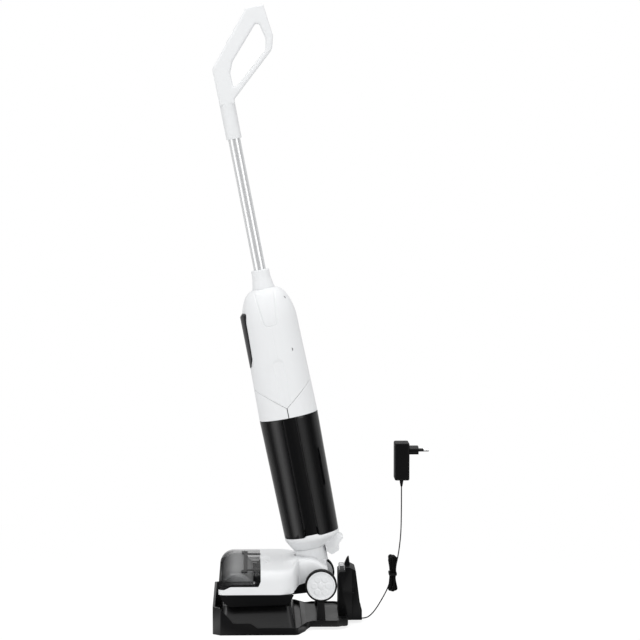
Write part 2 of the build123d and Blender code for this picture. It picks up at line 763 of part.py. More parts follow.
def fan():
    """Impeller on the motor's shaft: a disc with swept blades."""
    wheel = Cylinder(FAN_R, FAN_DISC, align=ON_BASE) + Cylinder(2 * FAN_SHAFT_R, FAN_HEIGHT, align=ON_BASE)
    rim = Cylinder(FAN_R, FAN_HEIGHT, align=ON_BASE)
    for i in range(FAN_BLADES):
        place = Rot(0, 0, i * 360 / FAN_BLADES) * Pos(FAN_R * 0.58, 0, 0) * Rot(0, 0, BLADE_SWEEP)
        wheel += place * Box(FAN_R * 0.72, BLADE_THICK, FAN_HEIGHT, align=ON_BASE) & rim
    wheel -= Cylinder(FAN_SHAFT_R + RUN_GAP, 4 * FAN_HEIGHT)
    return Pos(0, 0, PLATE_S + PLATE_THICK + FAN_LIFT) * wheel


def battery_pack():
    """Six round cells in two rows with their holder, standing on the motor."""
    holder = BASE_WALL
    pack = block(-CELL_R, CELL_R, -3 * CELL_R, 3 * CELL_R, 0, holder)
    cell = Cylinder(CELL_R, CELL_LENGTH, align=ON_BASE)
    for row in (-1, 1):
        for column in (-1, 0, 1):
            pack += Pos(row * (CELL_R - CELL_LAP), column * (2 * CELL_R - CELL_LAP), 0) * cell
    return Pos(0, 0, PLATE_S + PLATE_THICK + MOTOR_CUP_HEIGHT + MOTOR_CAN_HEIGHT) * pack


def main_board():
    """Circuit board behind the display, its edges on the front shell's inside."""
    high = SHOULDER_S + PANEL_BEVEL
    low = high - BOARD_LENGTH
    wall_r = min(BODY_R, flank_radius(low)) - BODY_WALL - PANEL_GAP
    outer = -sqrt(wall_r**2 - BOARD_HALF**2)
    return block(outer, outer + BOARD_THICK, -BOARD_HALF, BOARD_HALF, low, high)


def funnel_form(inset):
    """The tapering base under the tanks, from the tank's circle to the neck's circle."""
    radius = TANK_FLOOR_R - inset
    top = Pos(0, 0, FUNNEL_TOP_S) * Circle(radius)
    low = Pos(SWIVEL_V, 0, FUNNEL_LOW_S) * Circle(FUNNEL_LOW_R - inset)
    return loft([low, top]) + Pos(0, 0, FUNNEL_TOP_S) * Cylinder(radius, BASE_RING, align=ON_BASE)


def base_shell():
    """White base that carries the spine and both tanks and turns on the neck."""
    low, high = FUNNEL_LOW_S + BASE_WALL, TANK_FLOOR_S - BASE_WALL
    shell = funnel_form(0) - (funnel_form(BASE_WALL) & block(-BIG, BIG, -BIG, BIG, low, high))
    for side in (-1, 1):
        shell += tab_box(side, 0) & tank_form(0, 0)
    return shell - Pos(SWIVEL_V, 0, FUNNEL_LOW_S) * Cylinder(SPIGOT_R + SEAT_GAP, 4 * BASE_WALL)


def water_pump():
    """Small pump under the base's deck."""
    high = TANK_FLOOR_S - BASE_WALL
    body = block(1, 1 + PUMP_LENGTH, -PUMP_HALF, PUMP_HALF, high - PUMP_HEIGHT, high)
    middle = 1 + PUMP_LENGTH / 2
    return body + cross_rod(PUMP_PORT_R, middle, high - PUMP_HEIGHT / 2, 0, PUMP_HALF + BASE_RING)


def charging_block():
    """Pale block behind the neck that comes down on the tower's contacts."""
    body = side_prism(BLOCK_OUTLINE, BLOCK_HALF, BLOCK_RADII)
    body -= Pos(SWIVEL_V, 0, 0) * Cylinder(NECK_R + 2.5 * SEAT_GAP, 2 * FUNNEL_LOW_S)
    return body - funnel_form(0)


def charging_contacts():
    """Two contact plates on the block's rear slope."""
    (x0, z0), (x1, z1) = BLOCK_OUTLINE[3], BLOCK_OUTLINE[2]
    slope = degrees(atan2(z1 - z0, x1 - x0))
    plate = Pos(0, 0, -CONTACT_THICK / 2) * Box(CONTACT_LENGTH, LEAF_WIDTH, CONTACT_THICK)
    middle = ((x0 + x1) / 2, (z0 + z1) / 2)
    return [Pos(middle[0], y, middle[1]) * Rot(0, -slope, 0) * plate for y in (-LEAF_Y, LEAF_Y)]


def neck_housing():
    """Tilting neck: a barrel on the hinge pins, a round neck and the swivel spigot."""
    neck = Pos(SWIVEL_V, 0, NECK_LOW_S) * Cylinder(NECK_R, NECK_TOP_S - NECK_LOW_S, align=ON_BASE)
    body = fillet(neck.edges().sort_by(Axis.Z)[0], NECK_ROUND)
    body += cross_rod(BARREL_R, SWIVEL_V, PIVOT_S, -BARREL_HALF, BARREL_HALF)
    front, rear, half = SWIVEL_V - BARREL_R, SWIVEL_V + BARREL_R, BARREL_HALF - 3
    body += block(front, rear, -half, half, PIVOT_S, NECK_LOW_S + NECK_ROUND + 2)
    body += Pos(SWIVEL_V, 0, NECK_TOP_S) * Cylinder(SPIGOT_R, 2 * SPIGOT_HEIGHT)
    body -= Pos(SWIVEL_V, 0, PIVOT_S + 6) * Cylinder(SPIGOT_R - SPIGOT_WALL, BIG / 4, align=ON_BASE)
    return body - cross_rod(HINGE_PIN_R + RUN_GAP, SWIVEL_V, PIVOT_S, -BIG / 4, BIG / 4)


# The floor head


def head_form(inset):
    """The wide front of the head: plan, side and front outlines cut out of each other."""
    front, half, top = HEAD_FRONT + inset, HEAD_HALF - inset, HEAD_TOP - inset
    rear = HEAD_REAR - inset
    radii = [HEAD_FRONT_CORNER, HEAD_REAR_CORNER, HEAD_REAR_CORNER, HEAD_FRONT_CORNER]
    corners = [(front, -half), (rear, -half), (rear, half), (front, half)]
    solid = extrude(make_face(FilletPolyline(*corners, radius=radii, close=True)), amount=BIG / 4)
    flank = [(front, 0), (front, top), (BIG, top), (BIG, 0)]
    solid &= side_prism(flank, BIG / 4, [1, NOSE_ROUND - inset, 1, 1])
    crown = HEAD_CROWN_HALF - inset
    bulge = (half - 6.5, HEAD_EDGE_Z + 11 - inset / 2)
    section = Polyline((-half, 0), (-half, HEAD_EDGE_Z))
    section += ThreePointArc((-half, HEAD_EDGE_Z), (-bulge[0], bulge[1]), (-crown, top))
    section += Polyline((-crown, top), (crown, top))
    section += ThreePointArc((crown, top), bulge, (half, HEAD_EDGE_Z))
    section += Polyline((half, HEAD_EDGE_Z), (half, 0), (-half, 0))
    return solid & extrude(Plane.YZ * make_face(section), amount=BIG / 4, both=True)


def hump_form(inset):
    """The narrow rear of the head that rises around the neck."""
    top, half, rear = HUMP_TOP - inset, HUMP_HALF - inset, HUMP_REAR - inset
    points = [
        (HUMP_START, HEAD_TOP - 12 - inset), (HUMP_CREST_FRONT, top), (HUMP_CREST_REAR, top),
        (rear, GROUND_Z + HUMP_REAR_HEIGHT - inset), (rear, HUMP_LOW), (44, HUMP_LOW), (24, SKIRT_LOW + 6),
        (10, SKIRT_LOW), (HUMP_START, SKIRT_LOW)]
    side = side_prism(points, half, [1, 22, 18, 10, 1, 8, 6, 3, 1])
    edge = HUMP_ROUND - inset
    corners = [(-half, 0), (-half, top), (half, top), (half, 0)]
    section = FilletPolyline(*corners, radius=[1, edge, edge, 1], close=True)
    return side & extrude(Plane.YZ * make_face(section), amount=BIG / 4, both=True)


def cover_zone(gap):
    """Side outline of what belongs to the roller cover, carried across, moved forward and up by gap."""
    rear, front = COVER_REAR - gap, HEAD_FRONT - 20
    lip, nose = COVER_LIP_Z + gap, COVER_NOSE_Z + gap
    points = [
        (rear, BIG), (rear, HEAD_EDGE_Z + gap), (rear - 4, lip), (HEAD_FRONT + COVER_STEP_RUN, lip),
        (HEAD_FRONT + COVER_NOSE_RUN, nose - 1), (front, nose + 1), (front, BIG)]
    return side_prism(points, BIG / 4)


def finger_dish(grow):
    """The oval finger dish across the joint of cover and housing, grown by a wall."""
    radius = DISH_R + grow
    height = HEAD_TOP + DISH_R - DISH_DEPTH
    dish = cross_rod(radius, DISH_X, height, -DISH_HALF_RUN, DISH_HALF_RUN)
    for side in (-1, 1):
        dish += Pos(DISH_X, side * DISH_HALF_RUN, height) * Sphere(radius)
    return dish


def neck_slot():
    """The opening in the head for the neck: round in front, open to the rear."""
    middle = PIVOT_X - NECK_SLOT_LEAD
    front_round = Pos(middle, 0, 0) * Cylinder(NECK_SLOT_HALF, BIG)
    return front_round + block(middle, BIG, -NECK_SLOT_HALF, NECK_SLOT_HALF, -BIG / 2, BIG / 2)


def latch_form(grow):
    """Plan of the cover release, an oval in the dish."""
    oval = RectangleRounded(LATCH_LENGTH + 2 * grow, LATCH_WIDTH + 2 * grow, LATCH_ROUND)
    return Pos(DISH_X + LATCH_LENGTH, 0, 0) * oval


def head_housing():
    """White housing of the head, hollow, with side arms beside the roller."""
    hollow = head_form(HEAD_WALL) + hump_form(HEAD_WALL)
    hollow -= finger_dish(HEAD_WALL)
    inner = HUMP_HALF - HEAD_WALL
    hollow += block(HEAD_REAR - 30, HUMP_REAR - HEAD_WALL, -inner, inner, 0, HUMP_LOW + 1)
    floor = block(-BIG, BIG, -BIG, BIG, -BIG, SKIRT_LOW)
    shell = head_form(0) + hump_form(0) - hollow - floor - cover_zone(0)
    inner = HEAD_HALF - HEAD_WALL - ARM_STRIP
    shell -= block(-BIG, COVER_REAR + HEAD_WALL, -inner, inner, 0, HEAD_EDGE_Z)
    shell -= finger_dish(0)
    shell -= neck_slot() & block(0, BIG, -BIG, BIG, 0, BIG)
    return shell - extrude(latch_form(PANEL_GAP), amount=BIG)


def brush_cover():
    """Smoked cover over the roller, lifting off upwards."""
    outer = head_form(0) & cover_zone(COVER_GAP)
    hollow = head_form(COVER_WALL) - finger_dish(COVER_WALL)
    return outer - hollow - finger_dish(0)


def cover_latch():
    """Cover release, a small oval button in the finger dish."""
    high = HEAD_TOP - DISH_DEPTH + LATCH_PROUD
    button = Pos(0, 0, high - LATCH_HEIGHT) * extrude(latch_form(0), amount=LATCH_HEIGHT)
    return fillet(button.edges().group_by(Axis.Z)[-1], 0.8)


def side_box(sign):
    """One hollow side arm of the chassis: inner cheek, outer plate and the strip under both."""
    low, skirt = GROUND_Z + CHASSIS_GAP, SKIRT_LOW - 0.1
    outer_face = HEAD_HALF - SIDE_PLATE_INSET
    wall = outer_face - SIDE_PLATE_THICK
    nose = HEAD_FRONT
    lower = [(nose + 3, skirt), (nose + 7, low + 11), (nose + 19, low), (0, low + 4), (HEAD_REAR - 3, skirt)]
    plate = side_prism(lower, BIG / 4, [1, 10, 10, 10, 1])
    front_top, rear_top = GROUND_Z + CHEEK_FRONT_HEIGHT, GROUND_Z + CHEEK_REAR_HEIGHT
    upper = [
        (nose + 9, low + 4), (nose + 9, front_top - 3), (ROLLER_X - 8, front_top),
        (COVER_REAR - 6, front_top), (COVER_REAR + 4, rear_top), (CHEEK_REAR, rear_top),
        (CHEEK_REAR, low + 4)]
    cheek = side_prism(upper, BIG / 4, 2)
    shell = plate & block(-BIG, BIG, wall, outer_face, 0, BIG)
    shell += plate & block(-BIG, BIG, CHEEK_IN, outer_face, 0, low + 6)
    shell += cheek & block(-BIG, BIG, CHEEK_IN, CHEEK_IN + CHEEK_THICK, 0, BIG)
    shell -= cross_rod(STUB_R + RUN_GAP, ROLLER_X, ROLLER_Z, CHEEK_IN - 1, wall - 0.5)
    shell -= cross_rod(MOTOR_PULLEY_R, DRIVE_X, DRIVE_Z, CHEEK_IN - 1, CHEEK_IN + CHEEK_THICK + 1)
    return shell if sign > 0 else mirror(shell, about=Plane.XZ)


def head_chassis():
    """Black lower half of the head: floor, side arms and the two rear arms with their bosses."""
    start = ROLLER_X + ROLLER_R + 6
    body = block(start, HEAD_REAR - 8, -CHEEK_IN, CHEEK_IN, FLOOR_Z, FLOOR_Z + FLOOR_THICK)
    for sign in (-1, 1):
        body += side_box(sign)
    knee = GROUND_Z + ARM_LOW_HEIGHT
    upper = GROUND_Z + ARM_HEIGHT
    outline = [
        (ARM_ROOT, FLOOR_Z), (ARM_KNEE, knee), (WHEEL_X + 6, WHEEL_Z - ARM_BOSS),
        (WHEEL_X + ARM_BOSS, WHEEL_Z - 4), (PIVOT_X + 14, PIVOT_Z + 6),
        (PIVOT_X, PIVOT_Z + ARM_BOSS), (PIVOT_X - 14, PIVOT_Z + 4),
        (ARM_KNEE - 4, upper), (ARM_ROOT, upper - 4)]
    arms = side_prism(outline, BIG / 4, [1, 8, 6, 6, 6, 8, 6, 8, 1])
    for low, high in ((ARM_IN, ARM_OUT), (-ARM_OUT, -ARM_IN)):
        body += arms & block(-BIG, BIG, low, high, 0, BIG)
    body -= cross_rod(HINGE_PIN_R, PIVOT_X, PIVOT_Z, -BIG / 4, BIG / 4)
    return body - cross_rod(AXLE_R, WHEEL_X, WHEEL_Z, -BIG / 4, BIG / 4)


def steel_pins():
    """Two hinge pins for the neck and two wheel axles, fixed in the rear arms."""
    hinge = cross_rod(HINGE_PIN_R, PIVOT_X, PIVOT_Z, BARREL_HALF - HINGE_PIN_DEPTH, ARM_OUT)
    axle = cross_rod(AXLE_R, WHEEL_X, WHEEL_Z, ARM_IN, WHEEL_IN + WHEEL_WIDTH - AXLE_SHORT)
    return pair(hinge) + pair(axle)


def wheel_hub(sign):
    """White wheel disc with a shallow rosette, blind on its outside."""
    high = WHEEL_IN + WHEEL_WIDTH
    floor = high - HUB_DISH
    hub = cross_rod(HUB_R, WHEEL_X, WHEEL_Z, WHEEL_IN, high)
    hub -= cross_rod(HUB_R - HUB_RIM, WHEEL_X, WHEEL_Z, floor, high + 1)
    hub += cross_rod(HUB_CAP_R, WHEEL_X, WHEEL_Z, floor - 1, floor + 0.75 * HUB_DISH)
    for i in range(PETALS):
        turn = Rot(0, (i + 0.5) * 360 / PETALS, 0)
        petal = Pos(WHEEL_X, floor, WHEEL_Z) * turn * Pos(0, 0, PETAL_RING) * Rot(90, 0, 0)
        hub += petal * Cylinder(PETAL_R, HUB_DISH)
    hub -= cross_rod(AXLE_R + RUN_GAP, WHEEL_X, WHEEL_Z, WHEEL_IN - 1, high - AXLE_SHORT + 1)
    return hub if sign > 0 else mirror(hub, about=Plane.XZ)


def wheel_tyre(sign):
    """Thin black tyre round the disc."""
    tyre = cross_rod(WHEEL_R, WHEEL_X, WHEEL_Z, WHEEL_IN, WHEEL_IN + WHEEL_WIDTH)
    tyre = fillet(tyre.edges(), TYRE_ROUND)
    tyre -= cross_rod(HUB_R, WHEEL_X, WHEEL_Z, WHEEL_IN - 1, WHEEL_IN + WHEEL_WIDTH + 1)
    return tyre if sign > 0 else mirror(tyre, about=Plane.XZ)


def roller_core():
    """Hollow roller core with closed ends and a stub at each end."""
    end = ROLLER_HALF + CORE_END
    room = ROLLER_HALF - CORE_END
    core = cross_rod(CORE_R, ROLLER_X, ROLLER_Z, -end, end)
    core -= cross_rod(CORE_R - CORE_WALL, ROLLER_X, ROLLER_Z, -room, room)
    reach = CHEEK_IN + CHEEK_THICK
    core += cross_rod(STUB_R, ROLLER_X, ROLLER_Z, -reach + 0.5, -ROLLER_HALF)
    return core + cross_rod(STUB_R, ROLLER_X, ROLLER_Z, ROLLER_HALF, reach + PULLEY_WIDTH + 1)


def roller_sleeve():
    """Plush sleeve on the core."""
    sleeve = cross_rod(ROLLER_R, ROLLER_X, ROLLER_Z, -ROLLER_HALF, ROLLER_HALF)
    sleeve = fillet(sleeve.edges(), ROLLER_ROUND)
    return sleeve - cross_rod(CORE_R, ROLLER_X, ROLLER_Z, -ROLLER_HALF - 1, ROLLER_HALF + 1)


def pulley_span():
    """The pulleys' place across the machine, outside the right cheek."""
    low = CHEEK_IN + CHEEK_THICK + PULLEY_GAP
    return low, low + PULLEY_WIDTH


def roller_pulley():
    """Driven pulley on the roller's right stub."""
    low, high = pulley_span()
    disc = cross_rod(ROLLER_PULLEY_R, ROLLER_X, ROLLER_Z, low, high)
    return disc - cross_rod(STUB_R, ROLLER_X, ROLLER_Z, low - 1, high + 1)


def motor_pulley():
    """Driving pulley with its shaft into the roller motor."""
    low, high = pulley_span()
    shaft = cross_rod(DRIVE_SHAFT_R, DRIVE_X, DRIVE_Z, CHEEK_IN - DRIVE_SHAFT_DEPTH, low + 1)
    return cross_rod(MOTOR_PULLEY_R, DRIVE_X, DRIVE_Z, low, high) + shaft


def brush_motor():
    """Roller motor beside the right cheek."""
    motor = cross_rod(DRIVE_MOTOR_R, DRIVE_X, DRIVE_Z, CHEEK_IN - DRIVE_MOTOR_LENGTH, CHEEK_IN)
    motor = fillet(motor.edges().sort_by(Axis.Y)[0], 3)
    room = DRIVE_SHAFT_DEPTH + 2
    return motor - cross_rod(DRIVE_SHAFT_R + RUN_GAP, DRIVE_X, DRIVE_Z, CHEEK_IN - room, CHEEK_IN + 1)


def belt_outline(grow):
    """Outline of the two pulleys with the straight runs between them."""
    large = Pos(ROLLER_X, ROLLER_Z) * Circle(ROLLER_PULLEY_R + grow)
    small = Pos(DRIVE_X, DRIVE_Z) * Circle(MOTOR_PULLEY_R + grow)
    return make_hull(large.edges() + small.edges())


def drive_belt():
    """Flat belt round both pulleys."""
    low, high = pulley_span()
    loop = belt_outline(BELT_GAP + BELT_THICK) - belt_outline(BELT_GAP)
    return Pos(0, (low + high + BELT_WIDTH) / 2, 0) * extrude(Plane.XZ * loop, amount=BELT_WIDTH)


def scraper_bar():
    """Black strip on the roller's top that wrings it, wider at its ends, on two arms from the housing."""
    front = ROLLER_X + SCRAPER_LEAD
    rear, end_front = front + SCRAPER_DEPTH, front - SCRAPER_END_LEAD
    low = ROLLER_Z + sqrt(ROLLER_R**2 - (end_front - ROLLER_X) ** 2) + SCRAPER_GAP
    high = low + SCRAPER_THICK
    reach = ROLLER_HALF - SCRAPER_SHORT
    blade = [(front, low + 1), (front + 2, low), (rear, low), (rear, high), (front + 1, high)]
    bar = side_prism(blade, reach)
    seat, seat_top = COVER_REAR + 1, HEAD_TOP - HEAD_WALL - SEAT_GAP
    seat_end = seat + SCRAPER_SEAT_LENGTH
    for added in (
            block(end_front, rear, reach - SCRAPER_END_WIDTH, reach, low, high),
            block(rear - 1, seat_end, SCRAPER_ARM_IN, SCRAPER_ARM_OUT, low, high),
            block(seat, seat_end, SCRAPER_ARM_IN, SCRAPER_ARM_OUT, low, seat_top)):
        for side in pair(added):
            bar += side
    return bar


def suction_mouth():
    """Tapering mouth behind the roller that takes the dirty water to the neck."""
    floor = FLOOR_Z + FLOOR_THICK
    front = Plane.YZ.offset(ROLLER_X + ROLLER_R + MOUTH_GAP) * Pos(0, floor + MOUTH_TALL / 2)
    rear = Plane.YZ.offset(MOUTH_REAR) * Pos(0, floor + MOUTH_REAR_TALL / 2)
    skins = []
    for slim in (0, 2 * MOUTH_WALL):
        wide = front * Rectangle(MOUTH_WIDE - slim, MOUTH_TALL - slim)
        narrow = rear * Rectangle(MOUTH_REAR_WIDE - slim, MOUTH_REAR_TALL - slim)
        skins.append(loft([wide, narrow]))
    return skins[0] - skins[1]


def squeegee():
    """Rubber lip under the front edge of the chassis floor."""
    x = ROLLER_X + ROLLER_R + 6
    return block(x, x + SQUEEGEE_THICK, -ROLLER_HALF, ROLLER_HALF, GROUND_Z + SQUEEGEE_GAP, FLOOR_Z)


# The charging dock


def tray_plan(inset, deep):
    """Plan of the tray: a wide front, a narrower deck behind it."""
    front, half = TRAY_FRONT + inset, TRAY_HALF - inset
    rear, deck = TRAY_REAR - inset, DECK_HALF - inset
    right_side = [
        (front, half - TRAY_CORNER), (front + TRAY_CORNER, half), (TRAY_SIDE_REAR, half), (DECK_FRONT, deck),
        (rear - DECK_CORNER, deck), (rear, deck - DECK_CORNER)]
    left_side = [(x, -y) for x, y in reversed(right_side)]
    edge = TRAY_ROUND
    radii = [edge / 2, edge / 2, edge, edge, edge, edge]
    outline = FilletPolyline(*right_side, *left_side, radius=radii + radii[::-1], close=True)
    return extrude(make_face(outline), amount=deep)


def island_form(inset):
    """The raised cradle under the head, sloping on all sides."""
    slim = 2 * inset
    low = RectangleRounded(ISLAND_LENGTH - slim, ISLAND_WIDTH - slim, 12)
    top = RectangleRounded(ISLAND_TOP_LENGTH - slim, ISLAND_TOP_WIDTH - slim, 10)
    return loft([Pos(ISLAND_X, 0, TRAY_FLOOR - 2) * low, Pos(ISLAND_X, 0, ISLAND_TOP - inset) * top])


def wheel_rest(side):
    """A ramped rest under one wheel, hollowed to the tyre's round."""
    y = side * (WHEEL_IN + WHEEL_WIDTH / 2)
    low = Rectangle(2 * (REST_HALF + REST_FLARE), WHEEL_WIDTH + 2 * REST_FLARE - 2)
    top = Rectangle(2 * REST_HALF, WHEEL_WIDTH - 2)
    rest = loft([Pos(WHEEL_X, y, RECESS_Z - 1) * low, Pos(WHEEL_X, y, GROUND_Z + REST_RISE) * top])
    return rest - cross_rod(WHEEL_R + SEAT_GAP, WHEEL_X, WHEEL_Z, -BIG / 4, BIG / 4)


def dock_tray():
    """Tray with its stepped rim, the roller cradle and the wheel rests, in one moulding."""
    start, end = TRAY_FRONT, TRAY_REAR + 5
    fall = start + RIM_FRONT_RUN
    step = fall + RIM_FALL
    ramp = step + RIM_STEP_RUN
    rim = [
        (start - 1, 0), (start - 1, TRAY_FRONT_TOP), (fall, TRAY_FRONT_TOP - 1),
        (step, TRAY_STEP_TOP), (ramp, TRAY_STEP_TOP), (ramp + RIM_RAMP, TRAY_SIDE_TOP),
        (TRAY_SIDE_REAR + 2, TRAY_SIDE_TOP),
        (DECK_FRONT + 12, DECK_TOP), (end, DECK_TOP), (end, DECK_LOW), (DECK_FRONT + 6, DECK_LOW),
        (DECK_FRONT - 4, 0)]
    tray = tray_plan(0, BIG / 8) & side_prism(rim, BIG / 4)
    inside = tray_plan(TRAY_WALL, BIG / 8)
    tray -= Pos(0, 0, TRAY_FLOOR) * inside & block(-BIG, DECK_FRONT - 10, -BIG, BIG, 0, BIG)
    tray -= Pos(0, 0, RECESS_Z) * inside & block(DECK_FRONT - 14, BIG, -BIG, BIG, 0, BIG)
    front, rear, half = ROLLER_X - CRADLE_HALF, ROLLER_X + CRADLE_HALF, ROLLER_HALF - CRADLE_SHORT
    island = island_form(0) + block(front, rear, -half, half, ISLAND_TOP - 4, GROUND_Z + CRADLE_RISE)
    island -= cross_rod(ROLLER_R + SEAT_GAP, ROLLER_X, ROLLER_Z, -BIG / 4, BIG / 4)
    tray += island
    tray -= Pos(0, 0, -ISLAND_WALL) * island_form(ISLAND_WALL)
    for side in (-1, 1):
        tray += wheel_rest(side)
    seat = TOWER_HALF + SEAT_GAP
    return tray - block(TOWER_FRONT - SEAT_GAP, BIG, -seat, seat, RECESS_Z, BIG)


def dock_feet():
    """Rubber feet under the deck."""
    feet = []
    for x, y in FOOT_PLACES:
        feet += pair(Pos(x, y, 0) * Cylinder(FOOT_R, DECK_LOW, align=ON_BASE))
    return feet


def tower_form(inset):
    """Outline of the tower, up to the contacts' ledge and the sloping top, moved inwards by inset."""
    low, under = RECESS_Z + inset, DECK_LOW + inset
    front, rear, top = TOWER_FRONT + inset, TOWER_REAR - inset, TOWER_TOP - inset
    step = TRAY_REAR + SEAT_GAP + inset
    bevel = TOWER_FRONT + TOWER_TOP_LENGTH
    ledge, riser = top - TOWER_LEDGE, HORN_FRONT + inset
    points = [
        (front, low), (front, ledge - 2), (front + 3, ledge), (riser, ledge), (riser + 1, top), (bevel, top),
        (bevel + TOWER_SHOULDER - inset, TOWER_SHOULDER_Z - inset),
        (rear - TOWER_FOOT_STEP, TOWER_FOOT_Z + 6), (rear, TOWER_FOOT_Z),
        (rear, under), (step, under), (step, low)]
    return side_prism(points, TOWER_HALF - inset, [0.5, 1, 0.5, 0.5, 0.5, 2, 4, 2, 2, 1, 0.5, 0])


def tower_shell(sign):
    """The front (-1) or back (1) shell of the tower, the front one with the horn."""
    shell = tower_form(0) - tower_form(TOWER_WALL)
    side = TOWER_HALF - BAND_DEPTH
    band = block(BAND_FRONT, BAND_REAR, -BIG, BIG, BAND_LOW, BAND_LOW + BAND_HEIGHT)
    shell -= band - block(-BIG, BIG, -side, side, 0, BIG)
    if sign > 0:
        return shell & block(TOWER_SPLIT, BIG, -BIG, BIG, 0, BIG)
    shell &= block(-BIG, TOWER_SPLIT, -BIG, BIG, 0, BIG)
    front, rear, tip = HORN_FRONT, HORN_FRONT + HORN_LENGTH, TOWER_TOP + HORN_HEIGHT
    horn = [
        (front, TOWER_TOP - 1), (front + 0.7, tip - 12), (front + 3.5, tip - 5), (rear - 2.2, tip),
        (rear - 0.8, tip - 12), (rear, TOWER_TOP - 1)]
    return shell + side_prism(horn, HORN_HALF, [0.5, 6, 8, 1, 3, 0.5])


def dock_contacts():
    """Two bent leaf contacts standing on the tower's ledge."""
    arch = side_prism(leaf_outline(0), LEAF_WIDTH / 2, [0.3, 3, 3, 0.3])
    arch -= side_prism(leaf_outline(LEAF_THICK), LEAF_WIDTH, [0.3, 2, 2, 0.3])
    return [Pos(0, y, 0) * arch for y in (-LEAF_Y, LEAF_Y)]


def leaf_outline(inset):
    """Side outline of a leaf contact's arch, moved inwards by inset and open below when it is."""
    front, rear = LEAF_FRONT + inset, LEAF_FRONT + LEAF_LENGTH - inset
    low = TOWER_TOP - TOWER_LEDGE - inset
    top = low + LEAF_HEIGHT
    return [(front, low), (front, top), (rear, top), (rear, low)]


def cable_gland():
    """Short sleeve under the tower's back edge where the lead comes out."""
    sleeve = Cylinder(GLAND_R, TOWER_REAR - TOWER_SPLIT, align=ON_BASE)
    return Pos(TOWER_SPLIT, 0, GLAND_R) * Rot(0, 90, 0) * sleeve


# The adapter and its lead


def adapter_case():
    """Rounded case of the wall adapter."""
    high = ADAPTER_LOW + ADAPTER_HEIGHT
    case = block(ADAPTER_X, ADAPTER_X + ADAPTER_DEPTH, -ADAPTER_HALF, ADAPTER_HALF, ADAPTER_LOW, high)
    return fillet(case.edges(), ADAPTER_EDGE)


def plug_face():
    """Flat plug body on the adapter with the slightly tapered sleeves of its pins."""
    face = RectangleRounded(2 * PLUG_FACE_HALF, PLUG_FACE_HEIGHT, PLUG_FACE_ROUND)
    body = extrude(Plane.YZ.offset(PIN_FACE_X) * Pos(0, PLUG_Z) * face, amount=-PLUG_FACE_DEPTH)
    bore = Pos(0, 0, -PIN_ROOT) * Cylinder(SLEEVE_BORE_R, 2 * PIN_LENGTH, align=ON_BASE)
    for place in pin_places():
        body += place * Cone(SLEEVE_R, SLEEVE_TIP_R, SLEEVE_LENGTH, align=ON_BASE)
        body -= place * bore
    return body


def pin_places():
    """Where the two pins leave the plug, pointing out."""
    return [Pos(PIN_FACE_X, y, PLUG_Z) * Rot(0, 90, 0) for y in (-PIN_PITCH / 2, PIN_PITCH / 2)]


def plug_pins():
    """Two round pins with thin roots inside their sleeves."""
    tip = Pos(0, 0, SLEEVE_LENGTH) * Cylinder(PIN_R, PIN_LENGTH - SLEEVE_LENGTH, align=ON_BASE)
    tip = fillet(tip.edges().sort_by(Axis.Z)[-1], PIN_ROUND)
    root = Pos(0, 0, -PIN_ROOT) * Cylinder(SLEEVE_BORE_R, PIN_ROOT + SLEEVE_LENGTH + 1, align=ON_BASE)
    return [place * (tip + root) for place in pin_places()]


def strain_relief():
    """Tapered sleeve where the lead leaves the adapter."""
    return Pos(RELIEF_X, 0, ADAPTER_LOW - RELIEF_LENGTH / 2) * Cone(RELIEF_TIP_R, RELIEF_TOP_R, RELIEF_LENGTH)


def hank_point(turn, x, z):
    """A point of the hank: x and z from its middle, its layer from how many turns came before."""
    return Vector(HANK_X + x, (turn - (HANK_LOOPS - 1) / 2) * HANK_PITCH, HANK_Z + z)


def hank_spread(turn, step):
    """A share from -1 to 1 that differs from turn to turn, in an order set by step."""
    return 2 * (step * turn % HANK_LOOPS) / (HANK_LOOPS - 1) - 1


def hank_stations():
    """Points and directions round the hank's loops. Each loop runs down the right side, round the low
    end, up the left side and over the top, drawn in at the waist, and climbs a layer along its right run.
    The loops lie shifted against each other and differ in length, so that together they fill the bundle."""
    down, up, left, right = Vector(0, 0, -1), Vector(0, 0, 1), Vector(-1, 0, 0), Vector(1, 0, 0)
    climb = Vector(0, HANK_PITCH / HANK_REACH, -1).normalized()
    end, share = HANK_END_R, HANK_WAIST_SHARE
    waist = share * end
    stations = [(hank_point(-1, share * (end + HANK_SHIFT), 0), down)]
    before = 0
    for turn in range(HANK_LOOPS):
        shift = HANK_SHIFT * hank_spread(turn, 4)
        reach = HANK_REACH + HANK_RAGGED / 2 * (hank_spread(turn, 5) - 1)
        half = reach - end
        if turn:
            stations.append((hank_point(turn - 0.5, share * (shift + before) / 2 + waist, 0), climb))
        stations.append((hank_point(turn, shift + end, -half), down))
        stations.append((hank_point(turn, shift, -reach), left))
        stations.append((hank_point(turn, shift - end, -half), up))
        stations.append((hank_point(turn, share * shift - waist, 0), up))
        stations.append((hank_point(turn, shift - end, half), up))
        stations.append((hank_point(turn, shift, reach), right))
        stations.append((hank_point(turn, shift + end, half), down))
        before = shift
    leaving = Vector(-0.3, 0, -1).normalized()
    crossing = Vector(-0.45, 0, -1).normalized()
    stations.append((hank_point(HANK_LOOPS, 0.5 * waist, 0.25 * half), crossing))
    stations.append((hank_point(HANK_LOOPS, -waist, -0.4 * half), leaving))
    return stations


